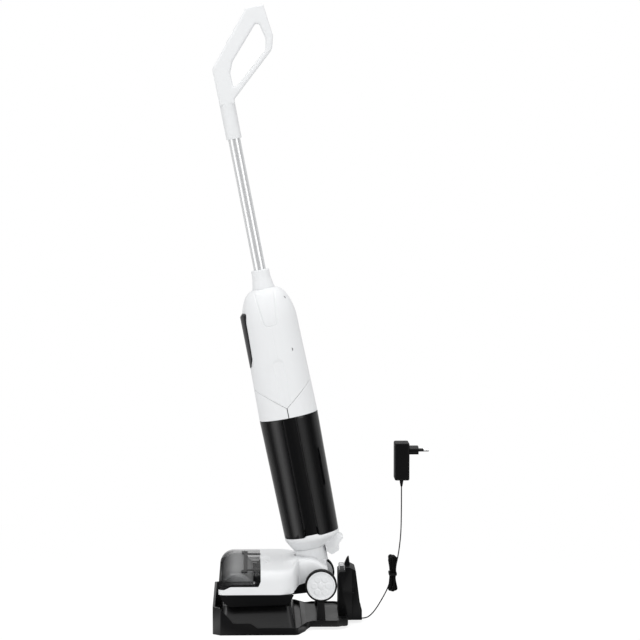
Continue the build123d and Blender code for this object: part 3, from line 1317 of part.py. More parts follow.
def biarc(p0, t0, p1, t1):
    """Two tangent arcs from p0 along t0 to p1 along t1, or a straight line where those agree."""
    chord, spread = p1 - p0, 1 - t0.dot(t1)
    if spread < 1e-9 and chord.normalized().dot(t0) > 1 - 1e-9:
        return [Line(p0, p1)]
    if spread < 1e-9:
        reach = chord.dot(chord) / (4 * chord.dot(t0))
    else:
        slope = chord.dot(t0 + t1)
        reach = (sqrt(slope**2 + 2 * spread * chord.dot(chord)) - slope) / (2 * spread)
    near, far = p0 + t0 * reach, p1 - t1 * reach
    middle = (near + far) / 2
    return [TangentArc(p0, middle, tangent=t0), TangentArc(middle, p1, tangent=far - near)]


def tube_along(path):
    """A lead's tube along a path of lines and arcs."""
    start = Plane(origin=path @ 0, z_dir=path % 0)
    return sweep(start * Circle(CORD_R), path=path)


def hank_path():
    """The hank's whole line, with a straight end square to each free stretch."""
    stations = hank_stations()
    first, entering = stations[0]
    last, leaving = stations[-1]
    edges = [Line(first - entering * 2 * CORD_R, first)]
    for (p0, t0), (p1, t1) in zip(stations, stations[1:]):
        edges += biarc(p0, t0, p1, t1)
    edges.append(Line(last, last + leaving * 2 * CORD_R))
    return Wire(edges)


def hank_gap(path):
    """Least distance between the tube's own turns, on points along it."""
    step = 2.0
    count = int(path.length / step)
    points = [path @ (i / count) for i in range(count + 1)]
    skip = int(14 / step)
    nearest = min((points[i] - points[j]).length for i in range(count) for j in range(i + skip, count + 1))
    return nearest - 2 * CORD_R


def free_stretch(points):
    """A free stretch of the lead: straight runs joined by arcs as large as the runs allow."""
    spots = [Vector(*point) for point in points]
    radii = []
    for a, b, c in zip(spots, spots[1:], spots[2:]):
        turn = radians((b - a).get_angle(c - b))
        radii.append(0.45 * min((b - a).length, (c - b).length) / tan(turn / 2))
    print("arc radii of a free stretch:", [round(r, 1) for r in radii])
    return FilletPolyline(*spots, radius=radii)


def cord_to_dock(hank_end, direction):
    """Lower stretch, from the gland up to the hank."""
    lead_in = hank_end + direction * 13
    rear = TOWER_REAR
    points = [
        (rear, 0, GLAND_R), (rear + 9, 0, GLAND_R), (rear + 19, 1.6, 9.5), (rear + 30, 4.6, 23),
        lead_in + Vector(-5.5, -2.6, -12), lead_in, hank_end]
    return free_stretch(points)


def cord_to_adapter(hank_start, direction):
    """Upper stretch, hanging from the adapter's strain relief down to the hank."""
    lead_in = hank_start - direction * 12
    top = ADAPTER_LOW - RELIEF_LENGTH
    x = RELIEF_X
    points = [
        (x, 0, top), (x, 0, top - 26), (x - 0.2, -0.6, top - 56), (x - 1.0, -2.6, top - 86),
        (x - 4.0, -6.2, top - 112), lead_in + Vector(3.9, 0.8, 17), lead_in, hank_start]
    return free_stretch(points)


def hank_tie():
    """Band round the hank's waist."""
    width = 2 * (HANK_WAIST_SHARE * (HANK_END_R + HANK_SHIFT) + CORD_R + TIE_GAP)
    depth = (HANK_LOOPS + 1) * HANK_PITCH + 2 * (CORD_R + TIE_GAP)
    outer = RectangleRounded(width + 2 * TIE_THICK, depth + 2 * TIE_THICK, TIE_ROUND)
    inner = RectangleRounded(width, depth, TIE_ROUND - TIE_THICK)
    return Pos(HANK_X, 0, HANK_Z - TIE_HALF_HEIGHT) * extrude(outer - inner, amount=2 * TIE_HALF_HEIGHT)


def build_upright():
    """Pieces drawn in the upright's own frame, placed with its lean."""
    pieces = {
        "base_shell": base_shell(), "charging_block": charging_block(),
        "charging_contacts": charging_contacts(), "spine_frame": spine_frame(),
        "dirty_tank": tank(-1), "dirty_tank_lid": tank_lid(-1), "float_guide": float_guide(),
        "filter_block": filter_block(), "clean_tank": tank(1), "clean_tank_lid": tank_lid(1),
        "front_shell": body_shell(-1), "rear_shell": body_shell(1),
        "body_screws": body_screws(), "display_panel": display_panel(), "tube_socket": tube_socket(),
        "wand_tube": wand_tube(), "handle_left": handle_half(-1), "handle_right": handle_half(1),
        "handle_strip": handle_strip(), "power_button": handle_button("power_button"),
        "clean_button": handle_button("clean_button"), "suction_motor": suction_motor(), "fan": fan(),
        "battery_pack": battery_pack(), "main_board": main_board(), "water_pump": water_pump(),
        "neck_housing": neck_housing(),
    }
    return {node: [UPRIGHT * shape for shape in as_list(made)] for node, made in pieces.items()}


def build_head():
    """Pieces of the floor head."""
    return {
        "head_chassis": head_chassis(), "head_housing": head_housing(), "brush_cover": brush_cover(),
        "cover_latch": cover_latch(), "steel_pins": steel_pins(), "roller_core": roller_core(),
        "roller_sleeve": roller_sleeve(), "roller_pulley": roller_pulley(), "motor_pulley": motor_pulley(),
        "brush_motor": brush_motor(), "drive_belt": drive_belt(), "scraper_bar": scraper_bar(),
        "suction_mouth": suction_mouth(), "squeegee": squeegee(), "wheel_hub_left": wheel_hub(-1),
        "wheel_hub_right": wheel_hub(1), "wheel_tyre_left": wheel_tyre(-1), "wheel_tyre_right": wheel_tyre(1),
    }


def build_dock():
    """Pieces of the charging dock and its adapter."""
    return {
        "dock_tray": dock_tray(), "dock_feet": dock_feet(), "tower_front": tower_shell(-1),
        "tower_back": tower_shell(1), "dock_contacts": dock_contacts(), "cable_gland": cable_gland(),
        "adapter_case": adapter_case(), "plug_face": plug_face(), "plug_pins": plug_pins(),
        "strain_relief": strain_relief(), "hank_tie": hank_tie(),
    }


def build_lead():
    """The lead's two free stretches and its hank."""
    loops = hank_path()
    print("hank length", round(loops.length, 1), "least gap to itself", round(hank_gap(loops), 2))
    paths = {
        "cord_hank": loops,
        "cord_to_dock": cord_to_dock(loops @ 1, loops % 1),
        "cord_to_adapter": cord_to_adapter(loops @ 0, loops % 0),
    }
    tubes = {node: tube_along(path) for node, path in paths.items()}
    for node, path in paths.items():
        share = tubes[node].volume / (pi * CORD_R**2 * path.length)
        print(node, "volume over section times length:", round(share, 4))
    print("lead length", round(sum(path.length for path in paths.values()), 1))
    return tubes


os.makedirs("parts", exist_ok=True)
for group in (build_upright(), build_head(), build_dock(), build_lead()):
    for name, made in group.items():
        save(name, *as_list(made))
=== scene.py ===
"""Looks of the wet dry floor scrubber in its charging tray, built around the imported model.

Lengths are millimetres unless a comment says metres, and become metres when a mesh is made.
The upright is drawn in a frame of its own: v to the rear, y to the right, s up along its axis.
"""
import math

import bmesh
import bpy
import numpy as np
from bpy.props import FloatProperty, FloatVectorProperty, IntProperty, PointerProperty
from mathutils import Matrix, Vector


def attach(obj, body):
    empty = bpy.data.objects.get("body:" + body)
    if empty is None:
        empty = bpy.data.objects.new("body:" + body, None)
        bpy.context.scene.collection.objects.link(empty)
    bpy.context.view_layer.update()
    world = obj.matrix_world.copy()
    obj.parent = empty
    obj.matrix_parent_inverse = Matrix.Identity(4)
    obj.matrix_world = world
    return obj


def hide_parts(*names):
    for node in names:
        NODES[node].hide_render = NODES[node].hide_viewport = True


bl_info = {
    "name": "Floor Scrubber Looks",
    "version": (1, 0, 0),
    "blender": (4, 5, 0),
    "location": "View3D > Sidebar > Scrubber",
    "description": "Surfaces, finishes and studio for a wet dry floor scrubber in its charging tray",
    "category": "Object",
}

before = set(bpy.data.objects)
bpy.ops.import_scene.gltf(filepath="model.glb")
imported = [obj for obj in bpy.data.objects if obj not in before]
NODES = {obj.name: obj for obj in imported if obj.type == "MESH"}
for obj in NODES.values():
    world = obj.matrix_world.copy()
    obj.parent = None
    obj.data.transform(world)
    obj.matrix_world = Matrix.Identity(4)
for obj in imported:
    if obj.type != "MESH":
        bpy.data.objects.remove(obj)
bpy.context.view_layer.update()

MM = 0.001
LEAN = math.radians(11.03)
COS_LEAN, SIN_LEAN = math.cos(LEAN), math.sin(LEAN)
AXIS_X, AXIS_Z = 56.1, 100.0

# Mesh work: merging distances in metres, angles in degrees
GRID_MERGE, NEEDLE, NODE_MERGE = 2e-6, 1e-7, 1e-6
SHARP, PILE_SHARP, FLAT, RIM_ANGLE, EDGE_ANGLE = 35.0, 60.0, 0.5, 50.0, 28.0

# Tanks and their lids, in the upright's frame
TANK_LOW, TANK_TOP = 62.0, 282.0
TANK_LOW_R, TANK_TOP_R = 49.8, 53.6
TANK_WALL, TANK_FACE, TANK_CORNER = 2.2, 10.4, 2.4
TANK_MIDDLE, FLOOR_INSET, FLOOR_ROUND = 30.0, 12.0, 1.6
TAB_HALF, TAB_RISE, TAB_GAP, TAB_FADE = 15.0, 3.4, 0.5, 24.0
LID_GAP, LID_SIDE_GAP = 0.3, 0.75

# White body, in the upright's frame; an ease is the span of distance over which a bed ends
BODY_R, SHOULDER = 50.0, 455.0
BEND_R, BEND = 38.5, 503.5
CROWN_R, CROWN = 21.0, 518.5
FLANK_POINTS, BEND_POINTS, CROWN_POINTS = 300, 120, 60
SEAM, SEAM_SLOPE, SEAM_GAP, SEAM_R = 300.0, 0.8, 0.7, 52.5
SIDE_EASE = (20.0, 32.0)
GROOVE_HALF, GROOVE_TOP, GROOVE_CORNER = 9.5, 389.0, 8.0
GROOVE_DEPTH, GROOVE_EASE = 1.1, (-2.2, 0.4)
TONGUE_TOP_HALF, TONGUE_LOW_HALF, TONGUE_LOW, TONGUE_TOE = 19.0, 11.5, 451.5, 8.0
TONGUE_DEPTH, TONGUE_EASE, TONGUE_GAP, TONGUE_SINK, TONGUE_PROUD = 1.0, (0.5, 1.5), 0.3, 0.9, 0.05
PANEL_HALF, PANEL_LOW, PANEL_TOP, PANEL_CORNER = 26.0, 381.0, 481.0, 12.0
PANEL_DEPTH, PANEL_EASE, PANEL_SIDE_EASE = 1.6, (-1.5, -0.3), (30.0, 36.0)
COLLAR_TOP, COLLAR_R, COLLAR_FLARE, COLLAR_FOOT = 553.0, 16.4, 534.0, 500.5
TUBE_R, TUBE_LOW, TUBE_TOP, TUBE_WALL = 11.0, 498.5, 829.5, 1.3
BASE_LOW, BASE_LOW_R, BASE_RISE, BASE_FLARE, SWIVEL_V = 37.2, 29.6, 17.5, 0.96, -8.2
SPIGOT_R, SPIGOT_TOP = 19.9, 58.8

# Floor head
HEAD_FRONT, HEAD_HALF, HEAD_TOP = -124.5, 136.0, 113.0
HEAD_EDGE, HEAD_CROWN, HEAD_SWELL = 94.0, 112.0, 0.6
SKIRT_LOW, NOSE_ROUND = 70.5, 27.5
FRONT_CORNER, REAR_CORNER, REAR_START = 10.0, 30.0, -19.0
CHEEK_REAR, CHEEK_HALF, CHEEK_EASE = 10.6, 102.0, (10.0, 21.0)
COVER_REAR, COVER_LIP, COVER_NOSE, COVER_GAP = -49.4, 84.6, 79.5, 0.45
LIP_START, LIP_END, LIP_REAR = -114.0, -103.0, 4.0
HUMP_HALF, HUMP_TAIL, TAIL_CORNER, HUMP_REAR = 60.0, 62.0, 10.0, 71.9
CREST_X, CREST_Z, CREST_EASE, CREST_END = (-40, 12, 50, 72, 90), (101, 121, 121, 104, 90), 9.0, 63.0
WHEEL_ARCH_X, WHEEL_ARCH_Z = (8, 24, 44), (SKIRT_LOW, 76.5, 83.0)
HUMP_SIDE_EASE, HUMP_BLEND = (36.0, 64.0), (6.0, 22.0)
SLOT_HALF, SLOT_X = 29.8, 41.98
DISH_X, DISH_R, DISH_DEPTH, DISH_RUN, DISH_EDGE, DISH_EASE = -45.5, 30.0, 4.2, 20.0, 24.0, 0.18
ROLLER_X, ROLLER_Z, ROLLER_R, ROLLER_HALF, CORE_R = -92.0, 77.5, 29.5, 118.0, 22.0
ROLLER_ROUND, PILE_SINK, PILE_RELIEF = 4.0, -0.22, 0.10
WHEEL_X, WHEEL_Z, WHEEL_R, WHEEL_IN, WHEEL_WIDTH = 59.5, 76.8, 28.8, 66.0, 16.0
HUB_R, AXLE_R, TYRE_ROUND = 25.6, 4.05, 1.6
PETALS, PETAL_R, PETAL_EASE, PETAL_RISE = 6, 13.0, (4.6, 6.0), 0.8

# Walls and rims, in metres
SHELL_EDGE, TONGUE_WALL = 0.0003, 0.0011
HOUSING_WALL, COVER_WALL, HEAD_RIM = 0.0026, 0.0022, 0.0005
HOUSING_INSIDE, COVER_INSIDE = (-0.02, 0, 0.06), (-0.09, 0, 0.07)

# Lead: the hank's loops, and the free stretches as (x, y, z)
CORD_R, LEAD_LENGTH = 1.1, 1.477
HANK_X, HANK_Z, HANK_LOOPS, HANK_PITCH = 192.5, 86.0, 9, 2.75
HANK_REACH, HANK_RAGGED, HANK_END, HANK_SHIFT, HANK_WAIST = 32.5, 2.5, 3.6, 4.4, 0.6
HANK_DRAW, HANK_BULGE, HANK_CAP = 1.6, 1.08, 1.10
HANK_BEND, HANK_STOPS = np.radians([8, 48, 90, 132, 172]), (-0.75, -0.4, 0.0, 0.4, 0.75)
SHIFT_ORDER, REACH_ORDER = 4, 5
LOWER_RUN = [(135, 0, 3), (144, 0, 3), (154, 1.6, 9.5), (165, 4.6, 23), (180.47, 11.15, 48.38),
             (185.97, 13.75, 60.38)]
UPPER_RUN = [(201.2, -12.95, 117.2), (204.5, -6.2, 134), (207.5, -2.6, 160), (208.3, -0.6, 190),
             (208.5, 0, 220), (208.5, 0, 246)]
# Where the lead joins the hank, with y from just outside its far and its near layer
HANK_FROM_DOCK = [(190.34, 0, 74.94), (193.58, 0, 92.91), (196.4, -1.4, 103.5)]
HANK_TO_ADAPTER = [(195.4, 1.2, 71.0), (197.3, 0, 86.0), (197.3, 0, 100.2)]

# Studio: lamps as name, place, aim and size in metres, power in watts
LAMPS = (
    ("key_light", (-1.6, -2.6, 2.6), (0, 0, 0.6), (1.6, 1.6), 32.0),
    ("fill_light", (2.2, -2.2, 1.6), (0, 0, 0.5), (1.2, 1.8), 9.0),
    ("top_light", (0.1, -0.3, 5.2), (0, 0, 0.3), (3.0, 3.0), 92.0),
)
SENSOR = 36.0
FLOOR_REACH, FLOOR_NEAR, FLOOR_GLOW, FLOOR_SHADOW = 12.0, -6.0, 0.16, 0.3
ROOM_LIGHT, ROOM_DIM, ROOM_OVERHEAD = 0.64, 0.08, (0.45, 0.75)
ROOM_BEHIND, BEHIND_LEVEL = (1.5, 2.1), 0.45
LEFT_BOX, RIGHT_BOX = (-1.02, 0.34, 1.7), (0.75, 0.36, 0.8)  # direction, width, level


def tint(name, description, default):
    """A colour of the sidebar."""
    return FloatVectorProperty(name=name, description=description, default=default, size=3, subtype="COLOR")


def length(name, description, default):
    """A length of the sidebar, in metres."""
    return FloatProperty(name=name, description=description, default=default, subtype="DISTANCE",
                         unit="LENGTH")


class ScrubberFinish(bpy.types.PropertyGroup):
    """Colours of the machine's finishes."""

    white: tint("White", "Body plastic", (0.80, 0.81, 0.82))
    pale: tint("Pale", "Pale grey trim", (0.62, 0.63, 0.64))
    black: tint("Black", "Tray, tower and adapter plastic", (0.004, 0.004, 0.0044))
    smoke: tint("Smoke", "Tint of the smoked tanks", (0.003, 0.003, 0.0034))
    cover: tint("Cover", "Tint of the roller cover", (0.014, 0.014, 0.015))
    plush: tint("Plush", "Roller sleeve", (0.76, 0.77, 0.78))
    tank_cover: FloatProperty(name="Tank opacity", description="Share of light that a tank wall stops",
                              default=0.88, min=0, max=1, subtype="FACTOR")
    lid_cover: FloatProperty(name="Cover opacity", description="Share of light that the cover stops",
                             default=0.25, min=0, max=1, subtype="FACTOR")


class ScrubberDetail(bpy.types.PropertyGroup):
    """Sizes of the fine detail."""

    columns: IntProperty(name="Columns", description="Grid columns round the body", default=160, min=24)
    rows: IntProperty(name="Rows", description="Grid rows along the body", default=120, min=12)
    skin: length("Shell wall", "Wall of the white shells", 0.002)


class ScrubberStage(bpy.types.PropertyGroup):
    """Camera."""

    target: FloatVectorProperty(name="Target", description="Point in the middle of the picture",
                                size=3, default=(0.0595, 0.0, 0.551), subtype="TRANSLATION", unit="LENGTH")
    distance: length("Distance", "From the camera to the target", 4.6)
    height: length("Height", "Camera height", 0.86)
    turn: FloatProperty(name="Turn", description="How far the camera stands to the left",
                        subtype="ANGLE", default=math.radians(1.5))
    lens: FloatProperty(name="Lens", description="Focal length in millimetres", default=142.6)


# Meshes from grids


def standing(x, y, z):
    """Points of the shared frame in metres, from millimetres."""
    return np.stack(np.broadcast_arrays(x, y, z), -1) * MM


def placed(v, y, s):
    """Upright coordinates as points of the shared frame: turned by the lean about the axis foot."""
    x = AXIS_X + v * COS_LEAN - s * SIN_LEAN
    z = AXIS_Z + v * SIN_LEAN + s * COS_LEAN
    return standing(x, y, z)


def smooth(low, high, x):
    """A smooth step from 0 at low to 1 at high."""
    t = np.clip((x - low) / (high - low), 0, 1)
    return t * t * (3 - 2 * t)


def fade(low, high, x):
    """A smooth step from 1 at low to 0 at high."""
    return 1 - smooth(low, high, x)


def arc(radius, along):
    """Height of a half circle at a distance along from its centre."""
    return np.sqrt(np.maximum(radius**2 - along**2, 0))


def columns_of(rows):
    """The columns of a table, each as an upright array."""
    return (np.array(column, float)[:, None] for column in zip(*rows))


def full_turn(count):
    """The angles of one full turn, as a flat array."""
    return np.radians(np.linspace(0, 360, count, endpoint=False))[None, :]


def grid_mesh(*grids, wrap=False, sharp=SHARP):
    """A mesh of quads from grids of points, closed round their columns where wrap is set: doubles
    merged, needles dropped, faces turned one way."""
    points, faces, start = [], [], 0
    for grid in grids:
        rows, cols = grid.shape[:2]
        index = start + np.arange(rows * cols).reshape(rows, cols)
        if wrap:
            index = np.column_stack([index, index[:, 0]])
        quads = np.stack([index[:-1, :-1], index[:-1, 1:], index[1:, 1:], index[1:, :-1]], -1)
        points.append(grid.reshape(-1, 3))
        faces.append(quads.reshape(-1, 4))
        start += rows * cols
    mesh = bpy.data.meshes.new("grid")
    mesh.from_pydata(np.concatenate(points).tolist(), [], np.concatenate(faces).tolist())
    work = bmesh.new()
    work.from_mesh(mesh)
    bmesh.ops.remove_doubles(work, verts=work.verts, dist=GRID_MERGE)
    bmesh.ops.dissolve_degenerate(work, edges=work.edges, dist=NEEDLE)
    bmesh.ops.recalc_face_normals(work, faces=work.faces)
    work.to_mesh(mesh)
    work.free()
    shade(mesh, sharp)
    return mesh


def shade(mesh, sharp=SHARP):
    """Smooth shading, with edges kept sharp past an angle in degrees."""
    mesh.shade_smooth()
    mesh.set_sharp_from_angle(angle=math.radians(sharp))


def shown(name, data):
    """A new object in the scene."""
    obj = bpy.data.objects.new(name, data)
    bpy.context.scene.collection.objects.link(obj)
    return obj


def finished(mesh, steps):
    """The mesh after its modifiers, each given as (type, settings)."""
    obj = shown("work", mesh)
    for kind, settings in steps:
        modifier = obj.modifiers.new(kind, kind)
        for key, value in settings.items():
            setattr(modifier, key, value)
    result = obj.evaluated_get(bpy.context.evaluated_depsgraph_get())
    done = bpy.data.meshes.new_from_object(result)
    bpy.data.objects.remove(obj)
    shade(done)
    return done


def rounding(width, segments, angle):
    """A bevel of the edges that turn by more than an angle in degrees."""
    return ("BEVEL", {"width": width, "segments": segments, "limit_method": "ANGLE",
                      "angle_limit": math.radians(angle)})


def walled(mesh, inside, wall, edge):
    """An open skin turned away from a point inside it and given a wall and rounded rims."""
    if sum((face.center - Vector(inside)).dot(face.normal) for face in mesh.polygons) < 0:
        mesh.flip_normals()
    solid = ("SOLIDIFY", {"thickness": wall, "offset": -1.0})
    return finished(mesh, [solid, rounding(edge, 2, RIM_ANGLE)] if edge else [solid])


def softened(node, edge):
    """A copy of a solid's mesh with rounded edges: doubles merged, flat faces joined, bevelled."""
    mesh = NODES[node].data.copy()
    mesh.materials.clear()
    work = bmesh.new()
    work.from_mesh(mesh)
    bmesh.ops.remove_doubles(work, verts=work.verts, dist=NODE_MERGE)
    bmesh.ops.dissolve_limit(work, angle_limit=math.radians(FLAT), verts=work.verts, edges=work.edges)
    work.to_mesh(mesh)
    work.free()
    if mesh.has_custom_normals:
        mesh.attributes.remove(mesh.attributes["custom_normal"])
    return finished(mesh, [rounding(edge, 3, EDGE_ANGLE)])


def joined(first, second):
    """Two meshes as one."""
    work = bmesh.new()
    work.from_mesh(first)
    work.from_mesh(second)
    work.to_mesh(first)
    work.free()
    shade(first)
    return first


def piece(name, data, body, slot, *nodes, finish=None):
    """Show a mesh or curve on its body in place of solids' nodes, in its slot's finish or another."""
    obj = shown(name, data)
    data.name = name
    data.materials.append(MATERIALS[finish or slot])
    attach(obj, body)
    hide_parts(*nodes)
    return obj


# Shader expressions, and the finishes kept under their names

MATERIALS = {}


class Value:
    """A socket of a node tree that arithmetic can be written on."""

    def __init__(self, net, socket):
        self.net, self.socket = net, socket

    def math(self, operation, *others):
        return self.net.math(operation, self, *others)

    def __add__(self, other):
        return self.math("ADD", other)

    def __sub__(self, other):
        return self.math("SUBTRACT", other)

    def __rsub__(self, other):
        return self.net.math("SUBTRACT", other, self)

    def __mul__(self, other):
        return self.math("MULTIPLY", other)

    __radd__, __rmul__ = __add__, __mul__


class Net:
    """A node tree with its main shader: a new material's Principled one or the world's own."""

    def __init__(self, name, world=None, **fixed):
        self.material = world or MATERIALS.setdefault(name, bpy.data.materials.new(name))
        self.material.use_nodes = True
        self.tree = self.material.node_tree
        self.shader = self.tree.nodes["Background" if world else "Principled BSDF"]
        for key, value in fixed.items():
            self.socket(key).default_value = value

    def socket(self, key):
        """The main shader's socket that a keyword such as coat_weight names."""
        return self.shader.inputs[key.replace("_", " ").title().replace("Ior", "IOR")]

    def feed(self, **sockets):
        for key, value in sockets.items():
            self.tree.links.new(value.socket, self.socket(key))

    def node(self, kind, inputs=None, output=0, **settings):
        """A shader node's output, with values or links on its sockets and its settings as keywords."""
        made = self.tree.nodes.new("ShaderNode" + kind)
        for key, value in settings.items():
            setattr(made, key, value)
        for key, value in (inputs or {}).items():
            if isinstance(value, Value):
                self.tree.links.new(value.socket, made.inputs[key])
            else:
                made.inputs[key].default_value = value
        return Value(self, made.outputs[output])

    def math(self, operation, *values):
        return self.node("Math", dict(enumerate(values)), operation=operation)

    def coordinates(self, name="Object"):
        return self.node("TexCoord", output=name)

    def noise(self, scale, detail=2.0, roughness=0.5, vector=None):
        return self.node("TexNoise", {
            "Vector": vector or self.coordinates(), "Scale": scale, "Detail": detail, "Roughness": roughness})

    def ray(self, kind):
        """1 for rays of a kind, such as Is Camera Ray, else 0."""
        return self.node("LightPath", output=kind)

    def seen(self):
        """1 for rays that show the background straight or through clear plastic, else 0."""
        return self.ray("Is Camera Ray").math("MAXIMUM", self.ray("Is Transmission Ray"))

    def step(self, value, low, high):
        """A smooth step from 0 at low to 1 at high."""
        return self.node("MapRange", {"Value": value, "From Min": low, "From Max": high},
                         interpolation_type="SMOOTHSTEP")

    def hill(self, value, middle, width):
        """A soft hill of height 1 around a middle value."""
        away = (value - middle) * (1 / width)
        return (away * away * -1.0).math("EXPONENT")

    def axes(self, vector):
        """The three parts of a vector."""
        parts = self.node("SeparateXYZ", {0: vector})
        return [Value(self, parts.socket.node.outputs[i]) for i in range(3)]

    def shades(self, share, colour, low, high):
        """The base colour, from a low to a high share of a colour."""
        dark, light = ((*(part * level for part in colour), 1.0) for level in (low, high))
        self.feed(base_color=self.mix(share, dark, light))

    def mix(self, share, first, second):
        """Two colours mixed by a share."""
        return self.node("Mix", {0: share, 6: first, 7: second}, output=2, data_type="RGBA")

    def bump(self, height, strength, distance):
        self.feed(normal=self.node("Bump", {
            "Height": height, "Strength": strength, "Distance": distance}))


# Finishes


def moulded(name, colour, roughness, spread, grain, depth, tint=0.04, coat=0.0, shine=0.5, skin=0.18):
    """Moulded plastic: a slow drift of shade, a fine grain in gloss and a shallow skin texture."""
    net = Net(name, coat_weight=coat, coat_roughness=skin, specular_ior_level=shine)
    net.shades(net.noise(9.0, detail=3.0), colour, 1 - tint, 1 + tint)
    fine, patches = net.noise(grain, detail=3.0, roughness=0.6), net.noise(22.0)
    net.feed(roughness=(fine - 0.5) * spread + (patches - 0.5) * spread + roughness)
    net.bump(fine, 0.25, depth)


def smoked(name, colour, coat):
    """Smoked clear plastic: a dark tint with a slow drift, under a polished skin."""
    net = Net(name, specular_ior_level=0.0, coat_weight=coat, coat_roughness=0.05, roughness=0.3)
    net.shades(net.noise(6.0), colour, 0.85, 1.15)
    return net


def smoked_tank(name, colour, cover, coat):
    """The tanks' smoked plastic with a faint haze, dull where the two tanks face each other."""
    net = smoked(name, colour, coat)
    x, _, z = net.axes(net.coordinates())
    rear = (x - AXIS_X * MM) * COS_LEAN + (z - AXIS_Z * MM) * SIN_LEAN
    outer = net.step(rear.math("ABSOLUTE"), (TANK_FACE + 0.6) * MM, (TANK_FACE + 3.5) * MM)
    haze = (net.noise(3.0, detail=1.0) - 0.5) * 0.02
    net.feed(alpha=haze + cover, coat_weight=outer * coat)


def smoked_lid(name, colour, cover, coat):
    """Smoked cover plastic with painted shade: darker at its lip, its top edge, its lower band and its nose,
    which is also duller.
    """
    net = smoked(name, colour, coat)
    x, _, z = net.axes(net.coordinates())
    height = z * (1 / MM)
    # Painted shade: opacity raised by place darkens the nose, a line at the top edge, the band below it and a
    # line at the lip
    nose = 1 - net.step(x, HEAD_FRONT * MM, (HEAD_FRONT + 30) * MM)
    crease_shade = net.hill(height, HEAD_EDGE - 0.3, 0.8)
    band = 1 - net.step(height, HEAD_EDGE - 1.5, HEAD_EDGE)
    lip = net.hill(height, COVER_LIP, 1.1)
    net.feed(alpha=crease_shade * 0.45 + band * 0.22 + lip * 0.3 + nose * 0.34 + cover,
             coat_weight=(1 - nose) * coat)


def drawn_metal(name, colour, roughness, along, share=1.0):
    """Drawn metal: fine scratches along one direction in gloss and shade."""
    net = Net(name, metallic=share)
    stretched = net.node("Mapping", {"Vector": net.coordinates(), "Scale": along})
    streaks = net.noise(1.0, detail=4.0, roughness=0.6, vector=stretched)
    net.shades(streaks, colour, 0.94, 1.04)
    net.feed(roughness=(streaks - 0.5) * 0.10 + roughness)
    net.bump(streaks, 0.04, 0.0002)


def soft_rubber(name, level, roughness):
    """Matt rubber of a grey level, with a dusty drift and a fine pebble."""
    net = Net(name, specular_ior_level=0.1)
    net.shades(net.noise(30.0, detail=4.0, roughness=0.7), [level] * 3, 0.8, 1.35)
    fine = net.noise(900.0)
    net.feed(roughness=(fine - 0.5) * 0.2 + roughness)
    net.bump(fine, 0.3, 0.0003)


def plush_cloth(name, colour):
    """Short pile: painted shade between tufts of fibre, lighter on their tips, with a soft sheen."""
    net = Net(name, roughness=0.95, sheen_weight=0.5, sheen_roughness=0.5, specular_ior_level=0.15)
    tuft_shade_and_relief = net.node("TexVoronoi", {"Vector": net.coordinates(), "Scale": 420.0}, feature="F1")
    lanes = net.noise(60.0, detail=3.0, roughness=0.6)
    # Painted shade: darker between the tufts, lighter on their tips; the same pattern gives the pile's relief
    net.shades((1 - tuft_shade_and_relief * 0.9) * 0.7 + lanes * 0.3, colour, 0.55, 1.12)
    net.bump(1 - tuft_shade_and_relief, 0.8, 0.0012)


def circuit(name):
    """Coated board: copper lanes under green lacquer."""
    net = Net(name, coat_weight=0.4)
    lanes = net.node("TexBrick", {
        "Vector": net.coordinates(), "Scale": 120.0, "Mortar Size": 0.03}, output=1)
    net.feed(base_color=net.mix(lanes, (0.02, 0.10, 0.045, 1), (0.05, 0.17, 0.07, 1)),
             roughness=net.noise(200.0) * 0.2 + 0.35)


def pleated_paper(name):
    """Filter paper: fibres in shade and a soft tooth."""
    net = Net(name, roughness=0.9, specular_ior_level=0.2)
    fibres = net.noise(700.0, detail=5.0, roughness=0.7)
    net.feed(base_color=net.mix(fibres, (0.50, 0.50, 0.47, 1), (0.68, 0.68, 0.65, 1)))
    net.bump(fibres, 0.4, 0.0004)


def make_materials():
    """All finishes, made once from the colours in the sidebar."""
    c = bpy.context.scene.scrubber_finish
    satin = {"roughness": 0.50, "spread": 0.10, "grain": 1500.0, "depth": 0.00015, "tint": 0.15, "coat": 0.45}
    moulded("white_plastic", c.white, roughness=0.40, spread=0.05, grain=1400.0, depth=0.00006, tint=0.012,
            shine=0.12)
    moulded("pale_plastic", c.pale, roughness=0.40, spread=0.06, grain=1200.0, depth=0.0001, tint=0.03)
    moulded("black_plastic", c.black, shine=0.0, skin=0.30, **satin)
    moulded("tray_plastic", c.black, shine=0.12, skin=0.22, **satin)
    moulded("black_gloss", (0.022, 0.022, 0.024), roughness=0.22, spread=0.03, grain=900.0, depth=0.00002,
            tint=0.1, shine=0.20)
    moulded("grey_plastic", (0.22, 0.22, 0.23), roughness=0.45, spread=0.08, grain=1200.0, depth=0.0002,
            tint=0.06)
    smoked_tank("smoked_tank", c.smoke, c.tank_cover, coat=0.90)
    smoked_lid("smoked_cover", c.cover, c.lid_cover, coat=0.80)
    drawn_metal("bright_tube", (0.90, 0.91, 0.92), 0.20, (3.0, 3.0, 0.4), share=0.5)
    drawn_metal("motor_metal", (0.5, 0.51, 0.53), 0.38, (60.0, 60.0, 60.0))
    drawn_metal("steel", (0.62, 0.62, 0.64), 0.28, (400.0, 4.0, 400.0))
    drawn_metal("contact_metal", (0.86, 0.86, 0.87), 0.30, (300.0, 300.0, 20.0), share=0.4)
    drawn_metal("pin_metal", (0.72, 0.72, 0.72), 0.18, (10.0, 300.0, 300.0))
    soft_rubber("black_rubber", 0.006, 0.62)
    soft_rubber("tyre_rubber", 0.010, 0.55)
    soft_rubber("cord_rubber", 0.006, 0.45)
    plush_cloth("plush", c.plush)
    circuit("board")
    pleated_paper("filter_paper")


# Upright surfaces


